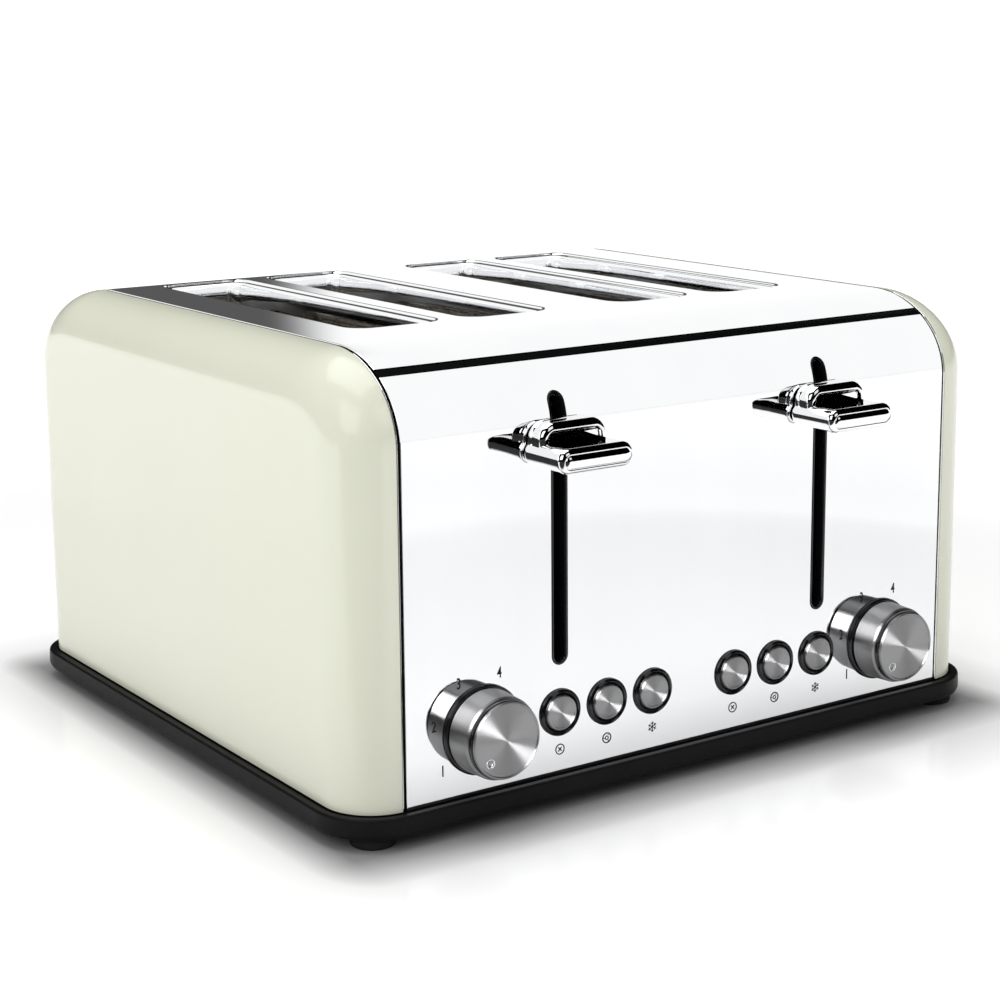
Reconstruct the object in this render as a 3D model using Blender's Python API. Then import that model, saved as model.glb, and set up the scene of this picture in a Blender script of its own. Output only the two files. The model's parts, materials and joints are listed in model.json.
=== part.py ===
"""Four-slot pop-up toaster with two levers, built from its separate pieces.

Units are metres. +X is to the right of someone facing the toaster, +Y runs to its back and
+Z is up. The origin is on the surface that the feet stand on, under the middle of the box
round the whole toaster. Left means the -X side.
"""
import math

import bmesh
import bpy
from mathutils import Vector

# ------------------------------------------------------------------ driving dimensions
GAP = 0.0003                      # clearance kept between neighbouring pieces
SHEET = 0.0010                    # thickness of the pressed steel panels

FOOT_HEIGHT = 0.0045
BASE_HEIGHT = 0.0080
BODY_HEIGHT = 0.1615              # from the base's top edge to the top of the body
BODY_DEPTH = 0.2750
BODY_HALF_WIDTH = 0.1509
STEEL_HALF_WIDTH = 0.1295         # half the width of the polished middle section
SEAM_WIDTH = 0.0010               # joint between the middle section and a side panel
BEND_Y = 0.0405                   # depth of the elliptical bend at the front and back
BEND_Z = 0.0321                   # height of the same bend
BASE_LIP = 0.0043                 # how far the base stands out all round
BASE_CORNER = 0.0247
FOOT_X = 0.1380                   # foot centres, from the body's middle
FOOT_Y = 0.1280

LEVER_REACH = 0.0245              # how far a lever handle stands out of the front
TRAY_GRIP_REACH = 0.0075          # how far a crumb tray's grip stands out of the back
LEVER_X = 0.0630
LEVER_HEIGHT = 0.1226             # lever paddle at rest, above the base
PADDLE_HALF_WIDTH = 0.0163
PADDLE_HALF_HEIGHT = 0.0046
HUMP_HALF_WIDTH = 0.0152          # raised part over the paddle, next to the panel
HUMP_HEIGHT = 0.0070
HUMP_REACH = 0.0100
HUMP_CORNER = 0.0055
HANDLE_BACK = 0.0006              # gap between the panel and the back of a handle
HANDLE_EDGE = 0.0010              # broken edges of the paddle and the hump
SLOT_LOW = 0.0420                 # lever slot's ends, above the base
SLOT_HIGH = 0.1430
SLOT_WIDTH = 0.0070

BREAD_X = (0.0361, 0.0864)        # centres of the inner and outer bread slots
BREAD_HALF = 0.0170
BREAD_FRONT = -0.0660             # ends of the bread slots, from the body's middle
BREAD_BACK = 0.0955
BREAD_CORNER = 0.0060

BUTTON_HEIGHT = 0.0238            # button and dial centres, above the base
BUTTON_X = (0.0199, 0.0415, 0.0631)
BUTTON_NAMES = {-1: ("defrost", "bagel", "cancel"), 1: ("cancel", "bagel", "defrost")}
BUTTON_RADIUS = 0.0065
BEZEL_RADIUS = 0.00925
DIAL_X = 0.0973
DIAL_HEIGHT = 0.0240
DIAL_RADIUS = 0.0157
DIAL_REACH = 0.0160
DIAL_REST = 225.0                 # marker at setting 1, anticlockwise from +X, in degrees
DIMPLE_RADIUS = 0.0100            # marker dimple from the middle of the dial
COLLAR_RADIUS = 0.0172
SHAFT_RADIUS = 0.0030             # dial shaft, which ends short of the control board
SHAFT_END = 0.0127

SEAM_LOW = math.radians(47.6)     # black seam strip, as positions round the bend
SEAM_HIGH = math.radians(54.2)

# ------------------------------------------------------------------ derived places
BASE_TOP = FOOT_HEIGHT + BASE_HEIGHT
TOP_Z = BASE_TOP + BODY_HEIGHT
BODY_Y = (LEVER_REACH - TRAY_GRIP_REACH) / 2
FRONT_Y = BODY_Y - BODY_DEPTH / 2
BACK_Y = BODY_Y + BODY_DEPTH / 2
PANEL_BOTTOM = BASE_TOP + GAP
SIDE_X = STEEL_HALF_WIDTH + SEAM_WIDTH
SIDE_FILLET = BODY_HALF_WIDTH - SIDE_X
LEVER_Z = BASE_TOP + LEVER_HEIGHT
BUTTON_Z = BASE_TOP + BUTTON_HEIGHT
DIAL_Z = BASE_TOP + DIAL_HEIGHT
SLOT_FRONT_Y = BODY_Y + BREAD_FRONT
SLOT_BACK_Y = BODY_Y + BREAD_BACK

CHASSIS_SHEET = 0.0012
FRONT_PLATE_Y = SLOT_FRONT_Y - 0.0070
BACK_PLATE_Y = SLOT_BACK_Y + 0.0025
CHAMBER_FRONT = FRONT_PLATE_Y + CHASSIS_SHEET + 2 * GAP
CHAMBER_BACK = BACK_PLATE_Y - 2 * GAP
HEATER_Z = (0.0340, 0.1580)
HEATER_HALF = 0.0010
GUARD_OFFSET = 0.0176             # inner face of a guard from its slot's middle
GUARD_THICK = 0.0015
GUARD_Z = (0.0340, 0.1600)
RACK_TOP = 0.1120                 # where the bread stands at rest
RACK_HEIGHT = 0.0120
RACK_SHEET = 0.0015
ROD_Y = FRONT_Y + 0.0350
ROD_RADIUS = 0.0030
CROSSBAR_Y = FRONT_PLATE_Y - 0.0075
BOARD_Y = FRONT_Y + 0.0150
TRAY_X = (0.0200, 0.1040)
TRAY_FLOOR = 0.0150
TRAY_LIP_TOP = 0.0225
TRAY_MIDDLE = (TRAY_X[0] + TRAY_X[1]) / 2
TONGUE_HALF = 0.0010              # steel tongue that carries a lever handle
TONGUE_HALF_HEIGHT = 0.0030
TONGUE_REACH = 0.0140
CARRIAGE_HALF = 0.0070            # block that slides on the guide rod
BAR_THICK = 0.0020
SPRING_RADIUS = 0.0052
SPRING_WIRE = 0.0006
MAGNET_OFFSET = 0.0165            # electromagnet beside the guide rod
SWITCH_DEPTH = 0.0030
SWITCH_HALF = 0.0030
SENSOR_HALF = 0.0070
GLAND_Z = 0.0400                  # cord gland in the middle of the back
GLAND_NECK = 0.0058
GLAND_BORE = 0.0036

MATERIALS = {
    # name: (colour, roughness, metallic)
    "cream_enamel": ((0.78, 0.79, 0.68), 0.22, 0.0),
    "polished_steel": ((0.86, 0.87, 0.88), 0.06, 1.0),
    "chrome": ((0.88, 0.89, 0.90), 0.04, 1.0),
    "spun_steel": ((0.70, 0.70, 0.71), 0.28, 1.0),
    "black_plastic": ((0.012, 0.012, 0.013), 0.35, 0.0),
    "gloss_black": ((0.006, 0.006, 0.007), 0.08, 0.0),
    "rubber": ((0.015, 0.015, 0.015), 0.80, 0.0),
    "zinc_sheet": ((0.55, 0.56, 0.58), 0.35, 1.0),
    "steel_wire": ((0.60, 0.60, 0.60), 0.25, 1.0),
    "mica_board": ((0.55, 0.47, 0.36), 0.60, 0.0),
    "circuit_board": ((0.06, 0.20, 0.10), 0.45, 0.0),
    "copper_coil": ((0.72, 0.33, 0.16), 0.35, 1.0),
}


# ------------------------------------------------------------------ scene and materials
def clear_scene():
    for old in list(bpy.data.objects):
        bpy.data.objects.remove(old, do_unlink=True)


def material(name):
    found = bpy.data.materials.get(name)
    if found:
        return found
    colour, roughness, metallic = MATERIALS[name]
    made = bpy.data.materials.new(name)
    made.use_nodes = True
    shader = made.node_tree.nodes["Principled BSDF"]
    shader.inputs["Base Color"].default_value = (*colour, 1.0)
    shader.inputs["Roughness"].default_value = roughness
    shader.inputs["Metallic"].default_value = metallic
    return made


def add_object(name, bm, material_name, origin=(0.0, 0.0, 0.0), smooth=True):
    """Turn a bmesh drawn in world coordinates into an object with the given origin."""
    bmesh.ops.translate(bm, verts=bm.verts, vec=-Vector(origin))
    bmesh.ops.recalc_face_normals(bm, faces=bm.faces)
    mesh = bpy.data.meshes.new(name)
    bm.to_mesh(mesh)
    bm.free()
    if smooth:
        mesh.shade_smooth()
        mesh.set_sharp_from_angle(angle=math.radians(35))
    if material_name:
        mesh.materials.append(material(material_name))
    made = bpy.data.objects.new(name, mesh)
    made.location = origin
    bpy.context.scene.collection.objects.link(made)
    return made


def combine(target, other, operation="DIFFERENCE"):
    """Cut a helper shape out of an object, or join it on. The helper is left out itself."""
    other.hide_render = True
    other.display_type = "WIRE"
    step = target.modifiers.new(operation.lower(), "BOOLEAN")
    step.operation = operation
    step.solver = "EXACT"
    step.object = other
    return target


# ------------------------------------------------------------------ shape builders
def bridge(bm, low, high):
    """Join two rings of vertices with quads."""
    count = len(low)
    for i in range(count):
        j = (i + 1) % count
        bm.faces.new((low[i], low[j], high[j], high[i]))


def skin_rings(bm, rings, ring_shaped=False):
    """A solid through a list of rings with equal counts, capped or closed on itself."""
    made = [[bm.verts.new(point) for point in ring] for ring in rings]
    for low, high in zip(made, made[1:]):
        bridge(bm, low, high)
    if ring_shaped:
        bridge(bm, made[-1], made[0])
    else:
        bm.faces.new(list(reversed(made[0])))
        bm.faces.new(made[-1])
    return bm


def circle(centre, radius, axis, count):
    """Points on a circle round the Y or the Z axis."""
    points = []
    for i in range(count):
        turn = 2 * math.pi * i / count
        across = radius * math.cos(turn)
        along = radius * math.sin(turn)
        offset = (across, 0.0, along) if axis == "Y" else (across, along, 0.0)
        points.append(Vector(centre) + Vector(offset))
    return points


def turned(bm, centre, profile, axis="Y", count=32, ring_shaped=False):
    """A turned piece: profile is (radius, distance along the axis) from the centre."""
    step = Vector((0, 1, 0)) if axis == "Y" else Vector((0, 0, 1))
    rings = [circle(Vector(centre) + step * along, radius, axis, count)
             for radius, along in profile]
    return skin_rings(bm, rings, ring_shaped)


def rounded_rectangle(half_a, half_b, radius, steps=6):
    """Outline of a rectangle with round corners, as (a, b) pairs, anticlockwise."""
    points = []
    corners = ((1, 1, 0), (-1, 1, 90), (-1, -1, 180), (1, -1, 270))
    for side_a, side_b, start in corners:
        for i in range(steps + 1):
            turn = math.radians(start + 90 * i / steps)
            points.append((side_a * (half_a - radius) + radius * math.cos(turn),
                           side_b * (half_b - radius) + radius * math.sin(turn)))
    return points


def in_front_plane(outline, x, z, y):
    """Place an (a, b) outline upright, facing the front, at depth y."""
    return [(x + a, y, z + b) for a, b in outline]


def solid_from_boxes(name, material_name, add, cut=(), origin=(0.0, 0.0, 0.0)):
    """One solid filling the boxes in add and leaving out those in cut.

    A box is ((x0, x1), (y0, y1), (z0, z1)). Space is divided along every box face, and
    each boundary between a full and an empty cell becomes a face.
    """
    lines = [sorted({round(value, 7) for box in (*add, *cut) for value in box[axis]})
             for axis in range(3)]

    def inside(point, boxes):
        return any(all(box[axis][0] < point[axis] < box[axis][1] for axis in range(3))
                   for box in boxes)

    cells = set()
    for i, x in enumerate(zip(lines[0], lines[0][1:])):
        for j, y in enumerate(zip(lines[1], lines[1][1:])):
            for k, z in enumerate(zip(lines[2], lines[2][1:])):
                middle = (sum(x) / 2, sum(y) / 2, sum(z) / 2)
                if inside(middle, add) and not inside(middle, cut):
                    cells.add((i, j, k))

    bm = bmesh.new()
    corners = {}

    def corner(i, j, k):
        if (i, j, k) not in corners:
            corners[(i, j, k)] = bm.verts.new((lines[0][i], lines[1][j], lines[2][k]))
        return corners[(i, j, k)]

    faces = {
        (-1, 0, 0): ((0, 0, 0), (0, 0, 1), (0, 1, 1), (0, 1, 0)),
        (1, 0, 0): ((1, 0, 0), (1, 1, 0), (1, 1, 1), (1, 0, 1)),
        (0, -1, 0): ((0, 0, 0), (1, 0, 0), (1, 0, 1), (0, 0, 1)),
        (0, 1, 0): ((0, 1, 0), (0, 1, 1), (1, 1, 1), (1, 1, 0)),
        (0, 0, -1): ((0, 0, 0), (0, 1, 0), (1, 1, 0), (1, 0, 0)),
        (0, 0, 1): ((0, 0, 1), (1, 0, 1), (1, 1, 1), (0, 1, 1)),
    }
    for i, j, k in sorted(cells):
        for (di, dj, dk), shape in faces.items():
            if (i + di, j + dj, k + dk) not in cells:
                bm.faces.new([corner(i + a, j + b, k + c) for a, b, c in shape])
    bmesh.ops.dissolve_limit(bm, angle_limit=math.radians(1), verts=bm.verts, edges=bm.edges)
    return add_object(name, bm, material_name, origin, smooth=False)


# ------------------------------------------------------------------ body profile
def bend_point(turn, inset):
    """A point of the front bend. turn is 0 where it leaves the front and 90 degrees on top."""
    outward = Vector((-math.cos(turn) / BEND_Y, math.sin(turn) / BEND_Z)).normalized()
    y = FRONT_Y + BEND_Y - BEND_Y * math.cos(turn)
    z = TOP_Z - BEND_Z + BEND_Z * math.sin(turn)
    return (y - outward.x * inset, z - outward.y * inset)


def bend(first, last, inset, steps):
    return [bend_point(first + (last - first) * i / steps, inset) for i in range(steps + 1)]


def mirrored(path):
    """The same profile at the back of the body."""
    return [(2 * BODY_Y - y, z) for y, z in reversed(path)]


def surface_y(z):
    """How far back the front surface lies at a height."""
    rise = max(0.0, z - (TOP_Z - BEND_Z))
    return FRONT_Y + BEND_Y * (1 - math.sqrt(1 - (rise / BEND_Z) ** 2))


def body_outline(inset, bottom):
    """Side view of the body as a closed outline, inset all round except at the bottom."""
    front = [(FRONT_Y + inset, bottom)] + bend(0, math.pi / 2, inset, 8)
    return front + mirrored(front)


def panel_strip(bm, paths, half_width):
    """A bent sheet across the body, between an outer and an inner profile."""
    outer, inner = paths
    loop = outer + list(reversed(inner))
    ends = [[bm.verts.new((x, y, z)) for y, z in loop] for x in (-half_width, half_width)]
    bridge(bm, ends[0], ends[1])
    count = len(loop)
    for verts in ends:
        for i in range(len(outer) - 1):
            bm.faces.new((verts[i], verts[i + 1], verts[count - 2 - i], verts[count - 1 - i]))
    return bm


# ------------------------------------------------------------------ housing
def make_base():
    half_x = BODY_HALF_WIDTH + BASE_LIP
    half_y = BODY_DEPTH / 2 + BASE_LIP
    rim = 0.0180
    floor = FOOT_HEIGHT + 0.0025
    edge = 0.0006
    levels = ((0.0012, FOOT_HEIGHT), (0.0, FOOT_HEIGHT + 0.0012), (0.0, BASE_TOP - edge),
              (edge, BASE_TOP), (rim, BASE_TOP), (rim, floor))
    rings = []
    for inset, z in levels:
        outline = rounded_rectangle(half_x - inset, half_y - inset, BASE_CORNER - inset)
        rings.append([(a, BODY_Y + b, z) for a, b in outline])
    add_object("base_tray", skin_rings(bmesh.new(), rings), "black_plastic")


def make_feet():
    radius = 0.0085
    profile = ((radius - 0.0008, 0.0), (radius, 0.0008), (radius - 0.0006, FOOT_HEIGHT - GAP))
    for side_name, x in (("left", -FOOT_X), ("right", FOOT_X)):
        for end_name, y in (("front", -FOOT_Y), ("back", FOOT_Y)):
            bm = turned(bmesh.new(), (x, BODY_Y + y, 0.0), profile, axis="Z", count=16)
            add_object(f"{end_name}_{side_name}_foot", bm, "rubber")


def make_side_panel(name, side):
    """Deep-drawn shell with a generous fillet round its edge."""
    steps = 6
    bottom = PANEL_BOTTOM
    rings = []
    for i in range(steps + 1):
        turn = math.pi / 2 * (1 - i / steps)
        x = SIDE_X + SIDE_FILLET * math.sin(turn)
        outline = body_outline(SIDE_FILLET * (1 - math.cos(turn)), bottom)
        rings.append([(side * x, y, z) for y, z in outline])
    inner_fillet = SIDE_FILLET - SHEET
    for i in range(steps + 1):
        turn = math.pi / 2 * i / steps
        x = SIDE_X + inner_fillet * math.sin(turn)
        outline = body_outline(SHEET + inner_fillet * (1 - math.cos(turn)), bottom + SHEET)
        rings.append([(side * x, y, z) for y, z in outline])
    add_object(name, skin_rings(bmesh.new(), rings), "cream_enamel")


def bread_slot_cutters():
    bm = bmesh.new()
    middle = (SLOT_FRONT_Y + SLOT_BACK_Y) / 2
    half = (SLOT_BACK_Y - SLOT_FRONT_Y) / 2
    outline = rounded_rectangle(BREAD_HALF, half, BREAD_CORNER, 4)
    for side in (-1, 1):
        for x in BREAD_X:
            rings = [[(side * x + a, middle + b, z) for a, b in outline]
                     for z in (TOP_Z - 0.010, TOP_Z + 0.010)]
            skin_rings(bm, rings)
    return add_object("bread_slot_cutters", bm, None)


def make_top_cover():
    front = (bend(SEAM_HIGH, math.pi / 2, 0.0, 4), bend(SEAM_HIGH, math.pi / 2, SHEET, 4))
    paths = [path + mirrored(path) for path in front]
    cover = add_object("top_cover", panel_strip(bmesh.new(), paths, STEEL_HALF_WIDTH),
                       "polished_steel")
    combine(cover, bread_slot_cutters())


def panel_paths():
    """Outer and inner profile of the front panel, from the base up to the seam."""
    return [[(FRONT_Y + inset, PANEL_BOTTOM)] + bend(0, SEAM_LOW, inset, 5)
            for inset in (0.0, SHEET)]


def slot_outline(half_width, low, high):
    """Outline of a lever slot with round ends, with points where the panel bends."""
    steps = 6
    top = high - half_width
    heights = [low + half_width]
    heights += [TOP_Z - BEND_Z + (top - TOP_Z + BEND_Z) * i / 3 for i in range(4)]
    right = [(half_width, z) for z in heights]
    cap = [(half_width * math.cos(math.pi * i / steps),
            top + half_width * math.sin(math.pi * i / steps)) for i in range(1, steps)]
    left = [(-half_width, z) for z in reversed(heights)]
    foot = [(-half_width * math.cos(math.pi * i / steps),
             low + half_width - half_width * math.sin(math.pi * i / steps))
            for i in range(1, steps)]
    return right + cap + left + foot


def front_panel_cutters():
    bm = bmesh.new()
    near = FRONT_Y - 0.010
    far = FRONT_Y + 0.012
    slot = slot_outline(SLOT_WIDTH / 2 + GAP, BASE_TOP + SLOT_LOW - GAP,
                        BASE_TOP + SLOT_HIGH + GAP)
    for side in (-1, 1):
        skin_rings(bm, [[(side * LEVER_X + a, y, z) for a, z in slot] for y in (near, far)])
        through = ((0.0040, near - FRONT_Y), (0.0040, far - FRONT_Y))
        turned(bm, (side * DIAL_X, FRONT_Y, DIAL_Z), through, count=20)
        through = ((0.0085, near - FRONT_Y), (0.0085, far - FRONT_Y))
        for x in BUTTON_X:
            turned(bm, (side * x, FRONT_Y, BUTTON_Z), through, count=20)
    return add_object("front_panel_cutters", bm, None)


def make_front_panel():
    panel = add_object("front_panel", panel_strip(bmesh.new(), panel_paths(), STEEL_HALF_WIDTH),
                       "polished_steel")
    combine(panel, front_panel_cutters())


def make_back_panel():
    paths = [mirrored(path) for path in panel_paths()]
    panel = add_object("back_panel", panel_strip(bmesh.new(), paths, STEEL_HALF_WIDTH),
                       "polished_steel")
    bm = bmesh.new()
    half = (TRAY_X[1] - TRAY_X[0]) / 2 + 0.0010
    height = (TRAY_LIP_TOP - TRAY_FLOOR) / 2 + 0.0010
    outline = rounded_rectangle(half, height, 0.0010, 1)
    for side in (-1, 1):
        rings = [in_front_plane(outline, side * TRAY_MIDDLE, (TRAY_LIP_TOP + TRAY_FLOOR) / 2, y)
                 for y in (BACK_Y - 0.010, BACK_Y + 0.010)]
        skin_rings(bm, rings)
    clear = GLAND_NECK + GAP
    turned(bm, (0.0, BACK_Y, GLAND_Z), ((clear, -0.010), (clear, 0.010)), count=24)
    combine(panel, add_object("back_panel_cutters", bm, None))


def make_seam_trims():
    """Black strips that close the joint between the upright panels and the top cover."""
    clear = GAP / BEND_Z
    first = SEAM_LOW + clear
    last = SEAM_HIGH - clear
    front = [bend(first, last, inset, 3) for inset in (0.0, SHEET)]
    back = [mirrored(path) for path in front]
    for name, paths in (("front_seam_trim", front), ("back_seam_trim", back)):
        add_object(name, panel_strip(bmesh.new(), paths, STEEL_HALF_WIDTH), "gloss_black")


def make_slot_liner(name, side):
    """Black liner of a lever slot. Its front follows the panel's surface."""
    back = FRONT_Y + 0.0080
    low = BASE_TOP + SLOT_LOW
    high = BASE_TOP + SLOT_HIGH
    wall = 0.0012
    outer = slot_outline(SLOT_WIDTH / 2, low, high)
    inner = slot_outline(SLOT_WIDTH / 2 - wall, low + wall, high - wall)
    rings = []
    for outline, follow in ((outer, False), (outer, True), (inner, True), (inner, False)):
        rings.append([(side * LEVER_X + a, surface_y(z) if follow else back, z)
                      for a, z in outline])
    add_object(name, skin_rings(bmesh.new(), rings, ring_shaped=True), "gloss_black")


# ------------------------------------------------------------------ levers and bread lift
def make_handle(name, side):
    """Paddle for the finger with a hump over it, pushed on to the carriage's tongue."""
    x = side * LEVER_X
    bm = bmesh.new()
    rings = []
    edge = HANDLE_EDGE
    for inset, reach in ((edge, HANDLE_BACK), (0.0, HANDLE_BACK + edge),
                         (0.0, LEVER_REACH - edge), (edge, LEVER_REACH)):
        outline = rounded_rectangle(PADDLE_HALF_WIDTH - inset, PADDLE_HALF_HEIGHT - inset,
                                    PADDLE_HALF_HEIGHT - inset - 0.0001, 4)
        rings.append(in_front_plane(outline, x, LEVER_Z, FRONT_Y - reach))
    handle = add_object(name, skin_rings(bm, rings), "chrome")

    bm = bmesh.new()
    rings = []
    root = HANDLE_BACK + edge / 2
    half_height = (HUMP_HEIGHT + PADDLE_HALF_HEIGHT) / 2
    for inset, reach in ((edge, root), (0.0, root + edge), (0.0, HUMP_REACH - edge),
                         (edge, HUMP_REACH)):
        outline = rounded_rectangle(HUMP_HALF_WIDTH - inset, half_height - inset,
                                    HUMP_CORNER - inset, 4)
        rings.append(in_front_plane(outline, x, LEVER_Z + half_height, FRONT_Y - reach))
    combine(handle, add_object(f"{name}_hump", skin_rings(bm, rings), None), "UNION")

    bm = bmesh.new()
    outline = rounded_rectangle(TONGUE_HALF + GAP, TONGUE_HALF_HEIGHT + GAP, 0.0001, 1)
    rings = [in_front_plane(outline, x, LEVER_Z, FRONT_Y - reach)
             for reach in (-SLOT_WIDTH, TONGUE_REACH + GAP)]
    combine(handle, add_object(f"{name}_socket", skin_rings(bm, rings), None))


def make_carriage(name, side):
    """Steel tongue, rod block, armature tab and crossbar of one lever, in one piece."""
    x = side * LEVER_X
    block = CARRIAGE_HALF
    magnet_x = side * (LEVER_X + MAGNET_OFFSET)
    bar_ends = sorted((side * (BREAD_X[0] - 0.0030), side * (BREAD_X[1] + 0.0030)))
    tab_ends = sorted((x, magnet_x + side * 0.0060))
    arm = (x - 0.0100, x + 0.0100)
    bar = (CROSSBAR_Y, CROSSBAR_Y + BAR_THICK)
    add = [
        ((x - TONGUE_HALF, x + TONGUE_HALF), (FRONT_Y - TONGUE_REACH, ROD_Y),
         (LEVER_Z - TONGUE_HALF_HEIGHT, LEVER_Z + TONGUE_HALF_HEIGHT)),
        ((x - block, x + block), (ROD_Y - block, ROD_Y + block),
         (LEVER_Z - block, LEVER_Z + block)),
        (tuple(tab_ends), (ROD_Y - 0.0060, ROD_Y + 0.0060), (LEVER_Z - block, LEVER_Z - 0.0040)),
        (arm, (ROD_Y, bar[1]), (LEVER_Z - BAR_THICK, LEVER_Z)),
        (arm, bar, (RACK_TOP - 0.0060, LEVER_Z)),
        (tuple(bar_ends), bar, (RACK_TOP - RACK_HEIGHT, RACK_TOP)),
    ]
    carriage = solid_from_boxes(name, "zinc_sheet", add)
    bore = ((ROD_RADIUS + GAP, -0.020), (ROD_RADIUS + GAP, 0.020))
    bm = turned(bmesh.new(), (x, ROD_Y, LEVER_Z), bore, axis="Z", count=20)
    combine(carriage, add_object(f"{name}_bore", bm, None))


def make_rack(name, x):
    """Bread carrier: an upright spine with cross ribs that the slice stands on."""
    front = CROSSBAR_Y + BAR_THICK + GAP
    back = CHAMBER_BACK - 0.0040
    add = [((x - RACK_SHEET / 2, x + RACK_SHEET / 2), (front, back),
            (RACK_TOP - RACK_HEIGHT, RACK_TOP - 0.0010))]
    ribs = 5
    for i in range(ribs):
        y = CHAMBER_FRONT + 0.0060 + (back - CHAMBER_FRONT - 0.0090) * i / (ribs - 1)
        add.append(((x - 0.0100, x + 0.0100), (y - 0.0010, y + 0.0010),
                    (RACK_TOP - 0.0020, RACK_TOP)))
    solid_from_boxes(name, "steel_wire", add)


def make_guard(name, inner_face, away):
    """Upright bread guard. away is the side, along X, that faces the heater."""
    ends = tuple(sorted((inner_face, inner_face + away * GUARD_THICK)))
    front = CHAMBER_FRONT + 0.0005
    back = CHAMBER_BACK - 0.0005
    bars = 7
    bar = 0.0020
    pitch = (back - front - bar) / (bars - 1)
    windows = [(ends, (front + bar + pitch * i, front + pitch * (i + 1)),
                (GUARD_Z[0] + 0.0030, GUARD_Z[1] - 0.0030)) for i in range(bars - 1)]
    solid_from_boxes(name, "steel_wire", [(ends, (front, back), GUARD_Z)], windows)


def make_guide_rod(name, side):
    profile = ((ROD_RADIUS, 0.0), (ROD_RADIUS, 0.1500))
    bm = turned(bmesh.new(), (side * LEVER_X, ROD_Y, BASE_TOP + GAP), profile, axis="Z", count=16)
    add_object(name, bm, "steel_wire")


def make_spring(name, side):
    """Open coil round the guide rod, from the base up to the carriage."""
    turns = 8
    per_turn = 10
    wire_sides = 4
    wire = SPRING_WIRE
    bottom = BASE_TOP + GAP + wire
    top = LEVER_Z - CARRIAGE_HALF - GAP - wire
    count = turns * per_turn
    rings = []
    for i in range(count + 1):
        turn = 2 * math.pi * i / per_turn
        out = Vector((math.cos(turn), math.sin(turn), 0.0))
        centre = Vector((side * LEVER_X, ROD_Y, bottom + (top - bottom) * i / count))
        ring = []
        for k in range(wire_sides):
            angle = 2 * math.pi * k / wire_sides
            ring.append(centre + out * (SPRING_RADIUS + wire * math.cos(angle))
                        + Vector((0, 0, wire * math.sin(angle))))
        rings.append(ring)
    add_object(name, skin_rings(bmesh.new(), rings), "steel_wire")


def make_electromagnet(name, side):
    """Coil on a yoke that holds the armature tab when a lever is down."""
    x = side * (LEVER_X + MAGNET_OFFSET)
    bottom = BASE_TOP + GAP
    add = [
        ((x - 0.0085, x + 0.0085), (ROD_Y - 0.0085, ROD_Y + 0.0085), (bottom, bottom + 0.0030)),
        ((x - 0.0075, x + 0.0075), (ROD_Y - 0.0075, ROD_Y + 0.0075),
         (bottom + 0.0060, bottom + 0.0300)),
        ((x - 0.0035, x + 0.0035), (ROD_Y - 0.0035, ROD_Y + 0.0035), (bottom, bottom + 0.0440)),
    ]
    solid_from_boxes(name, "copper_coil", add)


# ------------------------------------------------------------------ chassis and heaters
def make_chassis():
    half = STEEL_HALF_WIDTH - 0.0025
    low = BASE_TOP + GAP
    high = TOP_Z - 0.0080
    front = (FRONT_PLATE_Y, FRONT_PLATE_Y + CHASSIS_SHEET)
    slots = []
    for side in (-1, 1):
        for x in BREAD_X:
            slots.append(((side * x - 0.0016, side * x + 0.0016), front,
                          (RACK_TOP - 0.0860, RACK_TOP + 0.0140)))
    solid_from_boxes("front_chassis_plate", "zinc_sheet", [((-half, half), front, (low, high))],
                     slots)
    back = (BACK_PLATE_Y, BACK_PLATE_Y + CHASSIS_SHEET)
    ways = []
    for side in (-1, 1):
        ends = sorted((side * (TRAY_X[0] - 0.0020), side * (TRAY_X[1] + 0.0020)))
        ways.append((tuple(ends), back, (low, TRAY_LIP_TOP + 0.0040)))
    solid_from_boxes("back_chassis_plate", "zinc_sheet", [((-half, half), back, (low, high))],
                     ways)


def make_heater(name, x):
    """Mica board between the guards, notched along its ends."""
    y = (CHAMBER_FRONT, CHAMBER_BACK)
    ends = (x - HEATER_HALF, x + HEATER_HALF)
    notch = 0.0020
    cuts = []
    for i in range(3):
        z = HEATER_Z[0] + (HEATER_Z[1] - HEATER_Z[0]) * (i + 1) / 4
        for near, far in ((y[0], y[0] + notch), (y[1] - notch, y[1])):
            cuts.append((ends, (near, far), (z - 0.0040, z + 0.0040)))
    solid_from_boxes(name, "mica_board", [(ends, y, HEATER_Z)], cuts)


def make_crumb_tray(name, side):
    """Shallow pan that slides out of the back, with a grip outside."""
    ends = tuple(sorted((side * TRAY_X[0], side * TRAY_X[1])))
    front = CHAMBER_FRONT + 0.0020
    wall = 0.0010
    plate = (BACK_Y + GAP, BACK_Y + GAP + 0.0020)
    middle = sum(ends) / 2
    add = [
        (ends, (front, plate[1]), (TRAY_FLOOR, TRAY_LIP_TOP)),
        ((ends[0] - 0.0030, ends[1] + 0.0030), plate, (BASE_TOP + 0.0008, TRAY_LIP_TOP + 0.0030)),
        ((middle - 0.0300, middle + 0.0300), (plate[0], BACK_Y + TRAY_GRIP_REACH),
         (TRAY_FLOOR + 0.0020, TRAY_FLOOR + 0.0050)),
    ]
    hollow = ((ends[0] + wall, ends[1] - wall), (front + wall, plate[0]),
              (TRAY_FLOOR + wall, TRAY_LIP_TOP))
    solid_from_boxes(name, "zinc_sheet", add, [hollow])


# ------------------------------------------------------------------ controls
def make_dial_collar(name, side):
    bore = SHAFT_RADIUS + 2 * GAP
    front = -0.0021
    profile = ((COLLAR_RADIUS, -GAP), (COLLAR_RADIUS, front + 0.0005),
               (COLLAR_RADIUS - 0.0005, front), (bore, front), (bore, -GAP))
    centre = (side * DIAL_X, FRONT_Y, DIAL_Z)
    bm = turned(bmesh.new(), centre, profile, count=28, ring_shaped=True)
    add_object(name, bm, "gloss_black")


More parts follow.
